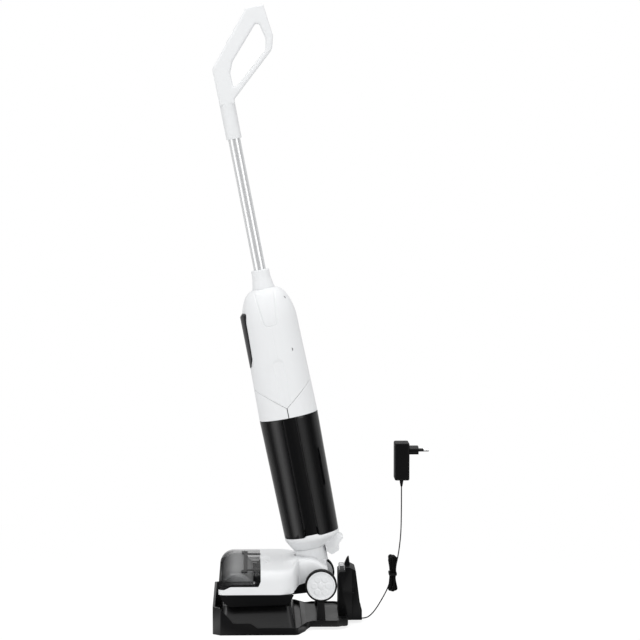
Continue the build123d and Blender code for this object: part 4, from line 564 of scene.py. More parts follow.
def d_loop(radius, face, corner, flat_points=14, corner_points=7, arc_points=97):
    """A closed D in (v, y): a straight wall at v = face, two corner arcs and a large arc between."""
    reach = np.sqrt((radius - corner) ** 2 - (face + corner) ** 2)
    swing = np.arctan2(reach, face + corner)
    run = np.linspace(0, 1, flat_points)
    upper = math.pi + (swing - math.pi) * np.linspace(0, 1, corner_points)[1:-1]
    sweep = swing * np.linspace(1, -1, arc_points)
    wall = face + 0 * run
    corner_v, corner_y = face + corner + corner * np.cos(upper), reach + corner * np.sin(upper)
    v = [wall, corner_v, radius * np.cos(sweep), corner_v[:, ::-1], wall[:, :-1]]
    y = [reach * run, corner_y, radius * np.sin(sweep), -corner_y[:, ::-1], (-reach * run[::-1])[:, :-1]]
    return np.concatenate(v, -1), np.concatenate(y, -1)


def tank_mesh(sign):
    """An open tank: the D carried up the taper, over its rim and down inside, with rounded floor
    edges, lifted at the sides over the base's tabs. Rows are (height, inset, share of width)."""
    outer_s = np.linspace(TANK_LOW + 2.5, TANK_TOP - 0.6, 60)
    inner_floor = TANK_LOW + TANK_WALL
    rows = [(TANK_LOW, FLOOR_INSET, 0), (TANK_LOW, FLOOR_INSET, 1)]
    rows += [(TANK_LOW + FLOOR_ROUND * (1 - math.sin(a)), FLOOR_ROUND * (1 - math.cos(a)), 1)
             for a in np.linspace(math.pi / 2, 0, 5)]
    rows += [(s, 0, 1) for s in outer_s]
    rows += [(TANK_TOP - 0.2, 0.2, 1), (TANK_TOP, 0.6, 1), (TANK_TOP, TANK_WALL - 0.4, 1)]
    rows += [(s, TANK_WALL, 1) for s in outer_s[::-4] - 0.5]
    rows += [(inner_floor, TANK_WALL + 1.5, 1), (inner_floor, FLOOR_INSET, 0)]
    s, inset, keep = columns_of(rows)
    corner = TANK_CORNER - np.minimum(inset, 2.0) * 0.6
    radius = TANK_LOW_R + (TANK_TOP_R - TANK_LOW_R) * (s - TANK_LOW) / (TANK_TOP - TANK_LOW)
    v, y = d_loop(radius - inset, TANK_FACE + inset, corner)
    v, y = TANK_MIDDLE + (v - TANK_MIDDLE) * keep, y * keep
    tab = fade(TAB_HALF - 6, TAB_HALF + 3, v) * smooth(30, 38.5, np.abs(y))
    s = s + (TAB_RISE + TAB_GAP) * tab * fade(TANK_LOW, TANK_LOW + TAB_FADE, s)
    return grid_mesh(placed(sign * v, y, s), wrap=True)


def body_profile():
    """Half outline of the white body as (radius, height, length run): a tapered flank, then the
    shoulder's and the crown's arc."""
    s0 = np.linspace(TANK_TOP, SHOULDER, FLANK_POINTS)
    r0 = TANK_TOP_R + (BODY_R - TANK_TOP_R) * (s0 - TANK_TOP) / (SHOULDER - TANK_TOP)
    drop, rise = BODY_R - BEND_R, BEND - SHOULDER
    bend_r = (rise**2 + drop**2) / (2 * drop)
    s1 = np.linspace(SHOULDER, BEND, BEND_POINTS)[1:]
    r1 = BODY_R - bend_r + arc(bend_r, s1 - SHOULDER)
    tilt = 2 * math.atan2(drop, rise)
    chord = np.array([CROWN_R - BEND_R, CROWN - BEND])
    inward = np.array([-math.cos(tilt), -math.sin(tilt)])
    crown_r = chord @ chord / (2 * chord @ inward)
    sweep = 2 * math.asin(np.hypot(*chord) / (2 * crown_r))
    a = tilt + np.linspace(0, sweep, CROWN_POINTS)[1:]
    r2 = BEND_R + crown_r * (inward[0] + np.cos(a))
    s2 = BEND + crown_r * (inward[1] + np.sin(a))
    r, s = np.concatenate([r0, r1, r2]), np.concatenate([s0, s1, s2])
    return r, s, np.concatenate([[0], np.cumsum(np.hypot(np.diff(r), np.diff(s)))])


PROFILE_R, PROFILE_S, PROFILE_RUN = body_profile()


def body_at(run):
    """Radius and height of the body a given way along its outline."""
    return np.interp(run, PROFILE_RUN, PROFILE_R), np.interp(run, PROFILE_RUN, PROFILE_S)


def corner_distance(across, up, corner):
    """Signed distance to a rounded corner from the distances past its two sides."""
    qx, qy = across + corner, up + corner
    outside = np.hypot(np.maximum(qx, 0), np.maximum(qy, 0))
    return outside + np.minimum(np.maximum(qx, qy), 0) - corner


def tongue_half(s):
    """Half width of the socket's tongue at a height: it widens upwards."""
    share = np.clip((s - TONGUE_LOW) / (CROWN - TONGUE_LOW), 0, 1)
    return TONGUE_LOW_HALF + (TONGUE_TOP_HALF - TONGUE_LOW_HALF) * share


def body_shell(sign):
    """Half of the white body from the V seam to the crown, with the side groove, the tongue's bed
    and, in front, the display's bed pressed into its radius."""
    d = bpy.context.scene.scrubber_detail
    angle = np.radians(np.linspace(-90, 90, d.columns + 1))[None, :]
    low = np.zeros_like(angle)
    for _ in range(6):  # settles on the run at which the outline meets the seam
        radius, height = body_at(low)
        low = low + (SEAM + SEAM_SLOPE * radius * np.cos(angle) - height)
    r, s = body_at(low + (PROFILE_RUN[-1] - low) * np.linspace(0, 1, d.rows + 1)[:, None])
    v, y = r * np.cos(angle), r * np.sin(angle)
    groove = corner_distance(np.abs(v) - GROOVE_HALF, np.abs(s - SEAM) - (GROOVE_TOP - SEAM), GROOVE_CORNER)
    tongue = corner_distance(np.abs(v) - tongue_half(s), TONGUE_LOW - s, TONGUE_TOE)
    press = GROOVE_DEPTH * fade(*GROOVE_EASE, groove) + TONGUE_DEPTH * fade(*TONGUE_EASE, tongue)
    press = press * smooth(*SIDE_EASE, np.abs(y))
    if sign < 0:
        middle, half = (PANEL_LOW + PANEL_TOP) / 2, (PANEL_TOP - PANEL_LOW) / 2
        bed = corner_distance(np.abs(y) - PANEL_HALF, np.abs(s - middle) - half, PANEL_CORNER)
        front = fade(*PANEL_SIDE_EASE, np.abs(y))
        press = press + PANEL_DEPTH * fade(*PANEL_EASE, bed) * front
    scale = 1 - press / r
    mesh = grid_mesh(placed(sign * v * scale, y * scale, s))
    return walled(mesh, placed(0, 0, (SEAM + CROWN) / 2), d.skin, SHELL_EDGE)


def lid_shell(sign):
    """A tank's white lid: the body's skin between the tank's rim and the V seam."""
    d = bpy.context.scene.scrubber_detail
    edge = math.degrees(math.asin(LID_SIDE_GAP / TANK_TOP_R))
    angle = np.radians(np.linspace(-90 + edge, 90 - edge, d.columns + 1))[None, :]
    low, high = TANK_TOP + LID_GAP, SEAM - SEAM_GAP + SEAM_SLOPE * SEAM_R * np.cos(angle)
    s = low + (high - low) * np.linspace(0, 1, 33)[:, None]
    r = np.interp(s, PROFILE_S[:FLANK_POINTS], PROFILE_R[:FLANK_POINTS])
    mesh = grid_mesh(placed(sign * r * np.cos(angle), r * np.sin(angle), s))
    return walled(mesh, placed(0, 0, SEAM), d.skin, SHELL_EDGE)


def lathe(outline, columns):
    """A half outline (radius, height) turned round the upright's axis."""
    r, s = columns_of(outline)
    angle = full_turn(columns)
    return placed(r * np.cos(angle), r * np.sin(angle), s)


def socket_mesh():
    """The tube's collar, turned with soft edges, and on each side a tongue: the body's skin inside an
    outline, sunk at its edges."""
    bore, top, flare, r0 = TUBE_R + 0.1, COLLAR_TOP, COLLAR_FLARE, COLLAR_R
    outline = [(bore, COLLAR_FOOT), (bore + 4, COLLAR_FOOT), (bore + 4, CROWN - 6),
               (CROWN_R - 1, CROWN - 2.5), (CROWN_R - 0.6, CROWN + 0.4), (CROWN_R - 1, CROWN + 2.2),
               (CROWN_R - 2, CROWN + 6.5), (r0 + 1.9, flare - 3), (r0 + 1.1, flare),
               (r0 + 0.6, flare + 3.5), (r0 + 0.3, flare + 8), (r0 + 0.1, top - 3),
               (r0 - 0.1, top - 1), (r0 - 0.5, top - 0.3), (r0 - 1.2, top), (bore + 0.5, top),
               (bore, top - 0.5), (bore, COLLAR_FOOT)]
    mesh = grid_mesh(lathe(outline, 96), wrap=True)
    across = np.linspace(-1, 1, 49)[None, :]
    run_low = np.interp(TONGUE_LOW, PROFILE_S, PROFILE_RUN)
    r, s = body_at(run_low + (PROFILE_RUN[-1] - run_low) * np.linspace(0, 1, 61)[:, None])
    toe = TONGUE_TOE - arc(TONGUE_TOE, np.maximum(TONGUE_TOE - (s - TONGUE_LOW), 0))
    v = np.clip((tongue_half(s) - TONGUE_GAP - toe) * across, -r + 0.01, r - 0.01)
    rim = smooth(0.90, 1.0, np.abs(across)) + fade(0.0, 1.2, s - TONGUE_LOW)
    y = np.sqrt(np.maximum((r - TONGUE_SINK * rim + TONGUE_PROUD) ** 2 - v**2, 1.0))
    for sign in (-1, 1):
        tongue = grid_mesh(placed(v, sign * y, s))
        mesh = joined(mesh, walled(tongue, placed(0, 0, SHOULDER), TONGUE_WALL, 0))
    return mesh


def tube_mesh():
    """The tube: a thin wall turned about the axis, with eased ends."""
    bore, ease = TUBE_R - TUBE_WALL, 0.3
    outline = [(bore, TUBE_LOW), (TUBE_R - ease, TUBE_LOW), (TUBE_R, TUBE_LOW + ease)]
    outline += [(TUBE_R, s) for s in np.linspace(TUBE_LOW + 6, TUBE_TOP - 6, 24)]
    outline += [(TUBE_R, TUBE_TOP - ease), (TUBE_R - ease, TUBE_TOP), (bore, TUBE_TOP), (bore, TUBE_LOW)]
    return grid_mesh(lathe(outline, 128), wrap=True)


def base_mesh():
    """The base under the tanks: a funnel with a tab at each side, its centre moving from the swivel's
    axis to the tanks'. Rows are (radius, height, share of the way to the swivel's axis)."""
    top, rim = TANK_LOW, TANK_LOW_R
    rows = [(0, SPIGOT_TOP, 1), (SPIGOT_R, SPIGOT_TOP, 1), (SPIGOT_R, BASE_LOW + 0.4, 1),
            (SPIGOT_R + 0.5, BASE_LOW, 1), (BASE_LOW_R - 0.8, BASE_LOW, 1)]
    flare = rim - 1.2 - BASE_LOW_R
    rows += [(BASE_LOW_R + flare * t**BASE_FLARE, BASE_LOW + BASE_RISE * t, 1 - t)
             for t in np.linspace(0.02, 1.0, 22)]
    rows += [(rim - 0.5, top - 5.8, 0), (rim - 0.1, top - 4.4, 0), (rim, top - 3.0, 0),
             (rim, top - 0.6, 0), (rim - 0.3, top - 0.1, 0), (rim - 1.0, top, 0)]
    rows += [(r, top, 0) for r in (*np.linspace(46, 38.5, 12), 20.0, 0.0)]
    r, s, off = columns_of(rows)
    angle = full_turn(240)
    v, y = r * np.cos(angle) + SWIVEL_V * off, r * np.sin(angle)
    tab = fade(TAB_HALF - 7, TAB_HALF + 1, np.abs(v)) * smooth(37.0, 40.0, np.abs(y))
    tab = tab * smooth(top - 3.5, top - 0.7, s)
    proud = 1 + 0.35 * tab / np.maximum(r, 1)
    return grid_mesh(placed(v * proud, y * proud, s + TAB_RISE * tab), wrap=True)


# Head surfaces


def head_section(points):
    """Half section of the head over one side, as (y, height): up the flank, over a rounded edge
    and in along the flat top, evenly spaced along its length."""
    flank = np.stack([np.full(40, HEAD_HALF), np.linspace(SKIRT_LOW, HEAD_EDGE, 40)], 1)
    start, pull, end = np.array([(HEAD_HALF, HEAD_EDGE), (HEAD_HALF, HEAD_TOP + HEAD_SWELL),
                                 (HEAD_CROWN, HEAD_TOP)])
    t = np.linspace(0, 1, 60)[1:, None]
    edge = (1 - t) ** 2 * start + 2 * t * (1 - t) * pull + t**2 * end
    top = np.stack([np.linspace(HEAD_CROWN, 0, 120)[1:], np.full(119, HEAD_TOP)], 1)
    curve = np.concatenate([flank, edge, top])
    run = np.concatenate([[0], np.cumsum(np.hypot(*np.diff(curve, axis=0).T))])
    even = np.linspace(0, run[-1], points)
    return np.interp(even, run, curve[:, 0]), np.interp(even, run, curve[:, 1])


def head_width(x):
    """Half width of the head along it: round corners, then in to the hump and round its tail."""
    front = np.clip(x - HEAD_FRONT, 0, FRONT_CORNER)
    w = HEAD_HALF - FRONT_CORNER + arc(FRONT_CORNER, FRONT_CORNER - front)
    w = w - (REAR_CORNER - arc(REAR_CORNER, np.clip(x - REAR_START, 0, REAR_CORNER)))
    cheek = CHEEK_HALF - (CHEEK_HALF - HUMP_HALF) * smooth(*CHEEK_EASE, x)
    w = np.where(x > CHEEK_REAR, np.minimum(w, cheek), w)
    tail = arc(TAIL_CORNER, np.clip(x - HUMP_TAIL, 0, TAIL_CORNER - 0.01))
    return np.where(x > HUMP_TAIL, HUMP_HALF - TAIL_CORNER + tail, w)


def head_height(x):
    """Height of the wide part's top: the nose's round, then level."""
    nose = np.clip(x - HEAD_FRONT, 0, NOSE_ROUND)
    return HEAD_TOP - NOSE_ROUND + arc(NOSE_ROUND, NOSE_ROUND - nose)


def hump_height(x):
    """Height of the narrow rear's top: up to its crest and down, averaged over a short way."""
    shifts = np.linspace(-CREST_EASE, CREST_EASE, 13)
    eased = np.mean([np.interp(x + shift, CREST_X, CREST_Z) for shift in shifts], 0)
    return np.where(x < CREST_END, eased, np.minimum(np.interp(x, CREST_X, CREST_Z), eased))


def dish_drop(x, y, z):
    """The finger dish: a ball's round carried across, pressed into the top with an eased rim."""
    reach = np.hypot(x - DISH_X, np.maximum(np.abs(y) - DISH_RUN, 0))
    gap = HEAD_TOP + DISH_R - DISH_DEPTH - arc(DISH_R, np.minimum(reach, DISH_R - 1)) - z
    eased = 0.5 * (gap - np.sqrt(gap**2 + DISH_EASE))
    return z + np.where(reach < DISH_EDGE, eased, 0)


def head_skin(x, y_base, z_base):
    """The head's outer skin at stations x: a base section widened and raised to the outlines, with the
    hump's rise added over the middle and the dish pressed in."""
    x = x[:, None]
    low = np.interp(x, WHEEL_ARCH_X, WHEEL_ARCH_Z)
    crest = hump_height(x)
    y = y_base * head_width(x) / HEAD_HALF
    share = (z_base - SKIRT_LOW) / (HEAD_TOP - SKIRT_LOW)
    over = np.maximum(crest - HEAD_TOP, 0) * fade(*HUMP_SIDE_EASE, np.abs(y))
    wide = low + share * (head_height(x) - low) + over * share**4
    narrow = low + share * (crest - low)
    behind = smooth(*HUMP_BLEND, x)
    return x, y, dish_drop(x, y, wide * (1 - behind) + narrow * behind)


def cover_lip(x, rear):
    """Height of the cover's lower edge along it: low round the nose, level, then up at its rear."""
    return np.interp(x, (LIP_START, LIP_END, rear - LIP_REAR, rear),
                     (COVER_NOSE, COVER_LIP, COVER_LIP, HEAD_EDGE))


def stations(*spans):
    """Places along the head, evenly spaced within each span (from, to, count)."""
    return np.unique(np.concatenate([np.linspace(*span) for span in spans]))


def housing_mesh():
    """The white housing: the skin behind the cover with the neck's slot left open, and a band under
    the cover's edge along each side."""
    x = stations((COVER_REAR, -28, 32), (-28, 9, 32), (9, 24, 46), (24, HUMP_TAIL, 46),
                 (HUMP_TAIL, HUMP_REAR, 22))
    y_base, z_base = head_section(124)
    slot = np.where(x < SLOT_X, arc(SLOT_HALF, SLOT_X - x), SLOT_HALF)
    inner = (slot / head_width(x) * HEAD_HALF)[:, None]
    y_used = y_base[None, :] * (1 - inner / HEAD_HALF) + inner
    flank = z_base < HEAD_EDGE
    z_used = np.interp(y_used, y_base[~flank][::-1], z_base[~flank][::-1])
    y_used[:, flank], z_used[:, flank] = y_base[flank], z_base[flank]
    nose = HEAD_FRONT + FRONT_CORNER
    bx = stations((HEAD_FRONT, nose, 20), (nose, COVER_REAR, 40))[:, None]
    bz = SKIRT_LOW + (cover_lip(bx, COVER_REAR) - SKIRT_LOW) * np.linspace(0, 1, 16)[None, :]
    grids = []
    for gx, gy, gz in (head_skin(x, y_used, z_used), (bx, head_width(bx), bz)):
        grids += [standing(gx, gy, gz), standing(gx, -gy, gz)[:, ::-1]]
    return walled(grid_mesh(*grids), HOUSING_INSIDE, HOUSING_WALL, HEAD_RIM)


def cover_mesh():
    """The smoked cover: the skin in front of its joint, down to its lip and, in front, to its nose."""
    rear = COVER_REAR - COVER_GAP
    x = stations((HEAD_FRONT, HEAD_FRONT + 3, 8), (HEAD_FRONT + 3, -97, 26), (-97, -64, 24), (-64, rear, 22))
    y_base, z_base = head_section(150)
    share = (cover_lip(x, rear) + COVER_GAP - SKIRT_LOW) / (head_height(x) - SKIRT_LOW)
    base_lip = np.minimum(SKIRT_LOW + share * (HEAD_TOP - SKIRT_LOW), HEAD_EDGE + 8)
    run = np.arange(len(z_base), dtype=float)
    start = np.interp(base_lip, z_base[:90], run[:90])[:, None]
    index = start + (run[-1] - start) * np.linspace(0, 1, 130)[None, :]
    sx, sy, sz = head_skin(x, np.interp(index, run, y_base), np.interp(index, run, z_base))
    near, far = standing(sx, sy, sz), standing(sx, -sy, sz)
    skin = np.concatenate([near, far[:, -2::-1]], 1)
    floor = skin[0].copy()
    floor[:, 2] = (COVER_NOSE + COVER_GAP) * MM
    drop = np.linspace(0, 1, 6)[:-1, None, None]
    face = floor * (1 - drop) + skin[0] * drop
    mesh = grid_mesh(np.concatenate([face, skin]))
    return walled(mesh, COVER_INSIDE, COVER_WALL, HEAD_RIM)


def band_rows(radius, low, high, corner, points, middle):
    """Rows (radius, depth) of a band's outer side: its middle between two round shoulders."""
    turn = np.linspace(0, math.pi / 2, points)
    shoulder = [(radius - corner + corner * math.sin(a), corner - corner * math.cos(a)) for a in turn]
    return [(r, low + d) for r, d in shoulder] + middle + [(r, high - d) for r, d in shoulder[::-1]]


def roller_mesh():
    """The plush sleeve: a cylinder with round ends, its pile lying in faint uneven lanes."""
    bore, rim, half = CORE_R + 0.2, CORE_R + 3.0, ROLLER_HALF
    middle = [(ROLLER_R, y) for y in np.linspace(-half + 5, half - 5, 120)]
    outline = [(bore, -half + 0.3), (rim, -half)]
    outline += band_rows(ROLLER_R, -half, half, ROLLER_ROUND, 7, middle)
    outline += [(rim, half), (bore, half - 0.3), (bore, -half + 0.3)]
    r, y = columns_of(outline)
    a = full_turn(180)
    lanes = np.sin(5 * a + 0.045 * y) + 0.6 * np.sin(11 * a - 0.11 * y)
    lanes = lanes + 0.5 * np.sin(0.5 * y + 3 * a)
    r = r + np.where(r > rim - 0.5, PILE_SINK + PILE_RELIEF * lanes, 0)
    points = standing(ROLLER_X + r * np.cos(a), y, ROLLER_Z + r * np.sin(a))
    return grid_mesh(points, wrap=True, sharp=PILE_SHARP)


def wheel_ring(outline, sign, columns, relief=None):
    """A half outline (radius, depth from the wheel's inner face) turned about the axle."""
    r, d = columns_of(outline)
    a = full_turn(columns)
    if relief:
        d = d + relief(r, a, d)
    return standing(WHEEL_X + r * np.cos(a), sign * (WHEEL_IN + d), WHEEL_Z + r * np.sin(a))


def rosette(r, a, d):
    """Shallow round petals raised on the dished face of the wheel."""
    slice_half = math.pi / PETALS
    turn = (a + slice_half) % (2 * slice_half) - slice_half
    reach = np.hypot(r * np.cos(turn) - PETAL_R, r * np.sin(turn))
    return np.where(d > WHEEL_WIDTH / 2, PETAL_RISE * fade(*PETAL_EASE, reach), 0)


def hub_mesh(sign):
    """The white wheel disc: dished face with petals, a cap in the middle and a raised rim."""
    w = WHEEL_WIDTH
    outline = [(AXLE_R, 0), (HUB_R - 0.05, 0), (HUB_R - 0.05, w - 0.5), (HUB_R - 0.5, w),
               (HUB_R - 2.4, w), (HUB_R - 2.9, w - 0.4), (HUB_R - 3.2, w - 1.1)]
    outline += [(r, w - 1.2) for r in np.linspace(HUB_R - 3.8, 7.0, 44)]
    outline += [(6.4, w - 1.15), (6.1, w - 0.8), (5.7, w - 0.45), (5.0, w - 0.3), (0, w - 0.25)]
    return grid_mesh(wheel_ring(outline, sign, 180, rosette), wrap=True)


def tyre_mesh(sign):
    """The thin black tyre: a band with rounded shoulders and a fine groove round its middle."""
    w, groove = WHEEL_WIDTH, 0.5
    middle = [(WHEEL_R, w / 2 - 2 * groove), (WHEEL_R - groove, w / 2 - groove),
              (WHEEL_R - groove, w / 2 + groove), (WHEEL_R, w / 2 + 2 * groove)]
    outline = [(HUB_R, 0.2), (HUB_R + 0.3, 0)]
    outline += band_rows(WHEEL_R, 0, w, TYRE_ROUND, 6, middle)
    outline += [(HUB_R + 0.3, w), (HUB_R, w - 0.2), (HUB_R, 0.2)]
    return grid_mesh(wheel_ring(outline, sign, 144), wrap=True)


# Lead


def hank_spread(turn, order):
    """A share from -1 to 1 that differs from turn to turn, in an order set by a stride."""
    return 2 * (order * turn % HANK_LOOPS) / (HANK_LOOPS - 1) - 1


def hank_turn(turn):
    """Control points of one loop of the hank: down the right side, climbing a layer, round the low
    end, up the left and over the top. Loops are waisted, shifted and of uneven length."""
    layer, end, pair = (HANK_LOOPS - 1) / 2, HANK_END, (turn, turn - 1)
    shift, before = (HANK_SHIFT * hank_spread(t, SHIFT_ORDER) for t in pair)
    half, half_before = (HANK_REACH - end + HANK_RAGGED / 2 * (hank_spread(t, REACH_ORDER) - 1) for t in pair)
    neck, waist = HANK_WAIST * ((shift + before) / 2 + end), HANK_WAIST * (shift - end)
    right = [(neck + (before + end - neck) * z**HANK_DRAW, z * half_before, 0.5 + 0.5 * z)
             for z in HANK_STOPS[:1:-1]]
    right += [(neck + (shift + end - neck) * z**HANK_DRAW, -z * half, 0.5 - 0.5 * z) for z in HANK_STOPS[3:]]
    bend = [(math.cos(a) * HANK_BULGE * end, half + math.sin(a) * HANK_CAP * end) for a in HANK_BEND]
    left = [(waist + (shift - end - waist) * abs(z) ** HANK_DRAW, z * half) for z in HANK_STOPS]
    points = [(x, turn - climb, z) for x, z, climb in right] if turn else []
    points += [(shift + x, turn, -z) for x, z in bend]
    points += [(x, turn, z) for x, z in left]
    points += [(shift - x, turn, z) for x, z in bend]
    return [(HANK_X + x, (t - layer) * HANK_PITCH, HANK_Z + z) for x, t, z in points]


def lead_points():
    """The whole lead from the dock to the adapter, in millimetres."""
    outer = (HANK_LOOPS + 1) / 2 * HANK_PITCH
    hank = [point for turn in range(HANK_LOOPS) for point in hank_turn(turn)]
    dock_end = [(x, outer + y, z) for x, y, z in HANK_FROM_DOCK]
    adapter_end = [(x, y - outer, z) for x, y, z in HANK_TO_ADAPTER]
    return LOWER_RUN + dock_end + hank[::-1] + adapter_end + UPPER_RUN


# Operators


class SCRUBBER_OT_tanks(bpy.types.Operator):
    """Smoked tanks with their white lids"""

    bl_idname = "scrubber.tanks"
    bl_label = "Tanks and lids"

    def execute(self, context):
        for name, sign in (("dirty_tank", -1), ("clean_tank", 1)):
            piece(name + "_form", tank_mesh(sign), name, "smoked_tank", name)
            piece(name + "_lid_form", lid_shell(sign), name, "white_plastic", name + "_lid")
        return {"FINISHED"}


class SCRUBBER_OT_body(bpy.types.Operator):
    """White body shells, socket and base, and the tube"""

    bl_idname = "scrubber.body"
    bl_label = "Body and tube"

    def execute(self, context):
        body, slot = "upright", "white_plastic"
        for name, sign in (("front_shell", -1), ("rear_shell", 1)):
            piece(name + "_form", body_shell(sign), body, slot, name)
        piece("tube_socket_form", socket_mesh(), body, slot, "tube_socket")
        piece("base_form", base_mesh(), body, slot, "base_shell")
        piece("tube_form", tube_mesh(), body, "bright_tube", "wand_tube")
        return {"FINISHED"}


class SCRUBBER_OT_head(bpy.types.Operator):
    """White head housing, its smoked cover and the roller"""

    bl_idname = "scrubber.head"
    bl_label = "Head, cover and roller"

    def execute(self, context):
        piece("housing_form", housing_mesh(), "head", "white_plastic", "head_housing")
        piece("cover_form", cover_mesh(), "brush_cover", "smoked_cover", "brush_cover")
        piece("roller_form", roller_mesh(), "roller", "plush", "roller_sleeve")
        return {"FINISHED"}


class SCRUBBER_OT_wheels(bpy.types.Operator):
    """Wheel discs and tyres"""

    bl_idname = "scrubber.wheels"
    bl_label = "Wheels"

    def execute(self, context):
        for side, sign in (("left", -1), ("right", 1)):
            body = "wheel_" + side
            piece("hub_form_" + side, hub_mesh(sign), body, "white_plastic", "wheel_hub_" + side)
            piece("tyre_form_" + side, tyre_mesh(sign), body, "tyre_rubber", "wheel_tyre_" + side)
        return {"FINISHED"}


# Solids shown with softened edges: body, slot, width of the rounding and any finish but the slot's own
SOFT_EDGED = {
    "dock_tray": ("dock", "black_plastic", 1.2, "tray_plastic"),
    "tower_front": ("dock", "black_plastic", 0.5, None),
    "tower_back": ("dock", "black_plastic", 0.5, None),
    "charging_block": ("upright", "pale_plastic", 0.8, "white_plastic"),
    "head_chassis": ("head", "black_plastic", 0.5, None),
    "handle_left": ("upright", "white_plastic", 0.3, None),
    "handle_right": ("upright", "white_plastic", 0.3, None),
}


class SCRUBBER_OT_moulded(bpy.types.Operator):
    """Moulded pieces with their edges rounded"""

    bl_idname = "scrubber.moulded"
    bl_label = "Tray, tower, chassis and handle"

    def execute(self, context):
        for node, (body, slot, edge, finish) in SOFT_EDGED.items():
            piece(node + "_form", softened(node, edge * MM), body, slot, node, finish=finish)
        return {"FINISHED"}


class SCRUBBER_OT_lead(bpy.types.Operator):
    """The adapter's lead with its hank, on one smooth line"""

    bl_idname = "scrubber.lead"
    bl_label = "Lead"

    def execute(self, context):
        points = np.array(lead_points()) * MM
        curve = bpy.data.curves.new("lead", "CURVE")
        curve.dimensions, curve.use_fill_caps = "3D", True
        curve.bevel_depth, curve.bevel_resolution = CORD_R * MM, 3
        spline = curve.splines.new("NURBS")
        spline.points.add(len(points) - 1)
        spline.points.foreach_set("co", np.column_stack([points, np.ones(len(points))]).ravel())
        spline.order_u, spline.resolution_u, spline.use_endpoint_u = 3, 6, True
        lead = piece("lead", curve, "dock", "cord_rubber", "cord_to_dock", "cord_hank", "cord_to_adapter")
        return {"FINISHED"}


# Solids shown as they are, by their finish
CARRIED = {
    "white_plastic": ["neck_housing", "cover_latch"],
    "pale_plastic": ["handle_strip", "power_button", "clean_button", "roller_core"],
    "grey_plastic": ["float_guide", "motor_pulley", "fan"],
    "black_plastic": ["spine_frame", "scraper_bar", "suction_mouth", "roller_pulley", "water_pump",
                      "adapter_case", "plug_face", "hank_tie"],
    "black_gloss": ["display_panel"],
    "black_rubber": ["drive_belt", "squeegee", "dock_feet", "cable_gland", "strain_relief"],
    "steel": ["steel_pins", "body_screws"],
    "contact_metal": ["charging_contacts", "dock_contacts"],
    "motor_metal": ["suction_motor", "battery_pack", "brush_motor"],
    "pin_metal": ["plug_pins"],
    "board": ["main_board"],
    "filter_paper": ["filter_block"],
}


class SCRUBBER_OT_finishes(bpy.types.Operator):
    """Finishes of the solids that are shown as they are"""

    bl_idname = "scrubber.finishes"
    bl_label = "Finishes"

    def execute(self, context):
        for finish, nodes in CARRIED.items():
            for node in nodes:
                slots = NODES[node].material_slots
                if not slots:
                    raise RuntimeError(node + " has no material slot")
                for slot in slots:
                    slot.material = MATERIALS[finish]
        return {"FINISHED"}


class SCRUBBER_OT_stage(bpy.types.Operator):
    """Floor, light and camera"""

    bl_idname = "scrubber.stage"
    bl_label = "Stage"

    def execute(self, context):
        make_floor()
        context.scene.world = make_world()
        for name, place, aim, size, power in LAMPS:
            lamp = bpy.data.lights.new(name, "AREA")
            lamp.shape, lamp.energy = "RECTANGLE", power
            lamp.size, lamp.size_y = size
            aimed(lamp, place, aim)
        values = context.scene.scrubber_stage
        camera = bpy.data.cameras.new("camera")
        camera.lens, camera.sensor_width = values.lens, SENSOR
        x, y, _ = values.target
        place = (x - values.distance * math.sin(values.turn),
                 y - values.distance * math.cos(values.turn), values.height)
        context.scene.camera = aimed(camera, place, values.target)
        context.scene.view_settings.view_transform = "Standard"
        return {"FINISHED"}


def aimed(data, place, aim):
    """Put a lamp or the camera at a place, facing a point."""
    obj = shown(data.name, data)
    obj.location = place
    obj.rotation_euler = (Vector(aim) - obj.location).to_track_quat("-Z", "Y").to_euler()
    return obj


def make_floor():
    """A pale floor that shows white to the camera and keeps the shadow."""
    mesh = bpy.data.meshes.new("floor")
    corners = np.array([(-1, -1, 0), (1, -1, 0), (1, 1, 0), (-1, 1, 0)]) * FLOOR_REACH
    mesh.from_pydata(corners.tolist(), [], [(0, 1, 2, 3)])
    floor = shown("floor", mesh)
    net = Net("floor", base_color=(0.9, 0.9, 0.9, 1), roughness=0.9, specular_ior_level=0.1)
    x, y, _ = net.axes(net.coordinates())
    near = ((x * x + y * y) * FLOOR_NEAR).math("EXPONENT")
    gloss = net.ray("Is Glossy Ray")
    strength = gloss * surround(net, x, y) + (1 - gloss) * (near * FLOOR_GLOW + 1.0)
    glow = net.node("Emission", {"Strength": strength})
    share = (net.seen() * (1 - near * FLOOR_SHADOW)).math("MAXIMUM", gloss)
    lit = Value(net, net.shader.outputs[0])
    mixed = net.node("MixShader", {0: share, 1: lit, 2: glow})
    net.tree.links.new(mixed.socket, net.tree.nodes["Material Output"].inputs[0])
    mesh.materials.append(net.material)


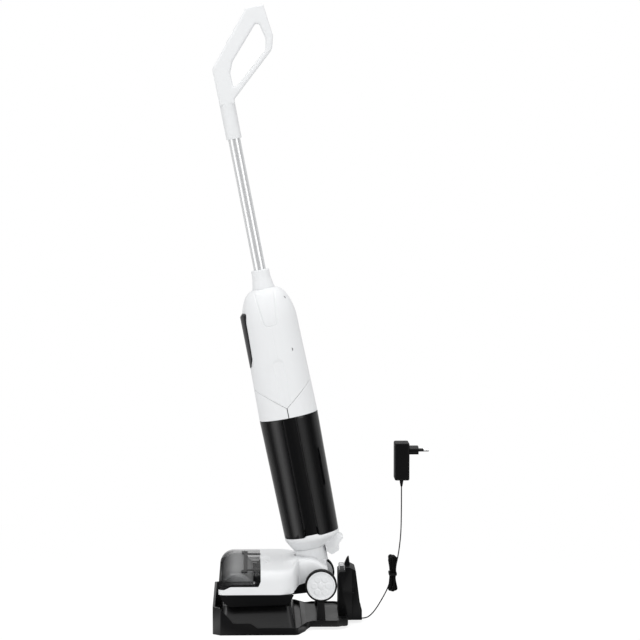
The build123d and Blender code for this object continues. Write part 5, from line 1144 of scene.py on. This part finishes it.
def surround(net, x, y):
    """How bright the studio looks in a polished surface, by direction: pale behind the object, dim on the
    camera's side, with a soft box to the left and a fainter one to the right."""
    turn = x.math("ARCTAN2", y * -1.0)
    boxes = [net.hill(turn, way, width) * level for way, width, level in (LEFT_BOX, RIGHT_BOX)]
    behind = net.step(turn.math("ABSOLUTE"), *ROOM_BEHIND)
    return boxes[0] + boxes[1] + behind * BEHIND_LEVEL + ROOM_DIM


def make_world():
    """A white room: full white where it is seen, plain light, the studio in polished surfaces."""
    net = Net("room", bpy.data.worlds.new("room"), color=(1, 1, 1, 1))
    x, y, z = net.axes(net.coordinates("Generated"))
    seen, gloss = net.seen(), net.ray("Is Glossy Ray")
    studio = surround(net, x, y) + net.step(z, *ROOM_OVERHEAD)
    net.feed(strength=seen + (1 - seen) * (gloss * studio + (1 - gloss) * ROOM_LIGHT))
    return net.material


class SCRUBBER_PT_sidebar(bpy.types.Panel):
    """Sidebar with the pieces in the order they are made"""

    bl_idname = "SCRUBBER_PT_sidebar"
    bl_label = "Floor scrubber"
    bl_space_type = "VIEW_3D"
    bl_region_type = "UI"
    bl_category = "Scrubber"

    def draw(self, context):
        for operator in OPERATORS:
            self.layout.operator(operator.bl_idname)
        for group in GROUPS:
            values = getattr(context.scene, group)
            box = self.layout.box()
            for key in values.__annotations__:
                box.prop(values, key)


OPERATORS = (SCRUBBER_OT_tanks, SCRUBBER_OT_body, SCRUBBER_OT_head, SCRUBBER_OT_wheels,
             SCRUBBER_OT_moulded, SCRUBBER_OT_lead, SCRUBBER_OT_finishes, SCRUBBER_OT_stage)
GROUPS = {"scrubber_finish": ScrubberFinish, "scrubber_detail": ScrubberDetail,
          "scrubber_stage": ScrubberStage}
CLASSES = (*GROUPS.values(), *OPERATORS, SCRUBBER_PT_sidebar)


def register():
    for cls in CLASSES:
        bpy.utils.register_class(cls)
    for key, cls in GROUPS.items():
        setattr(bpy.types.Scene, key, PointerProperty(type=cls))


def unregister():
    for key in GROUPS:
        delattr(bpy.types.Scene, key)
    for cls in reversed(CLASSES):
        bpy.utils.unregister_class(cls)


def main():
    """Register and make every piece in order."""
    register()
    make_materials()
    for operator in OPERATORS:
        group, call = operator.bl_idname.split(".")
        getattr(getattr(bpy.ops, group), call)()


if __name__ == "__main__":
    main()
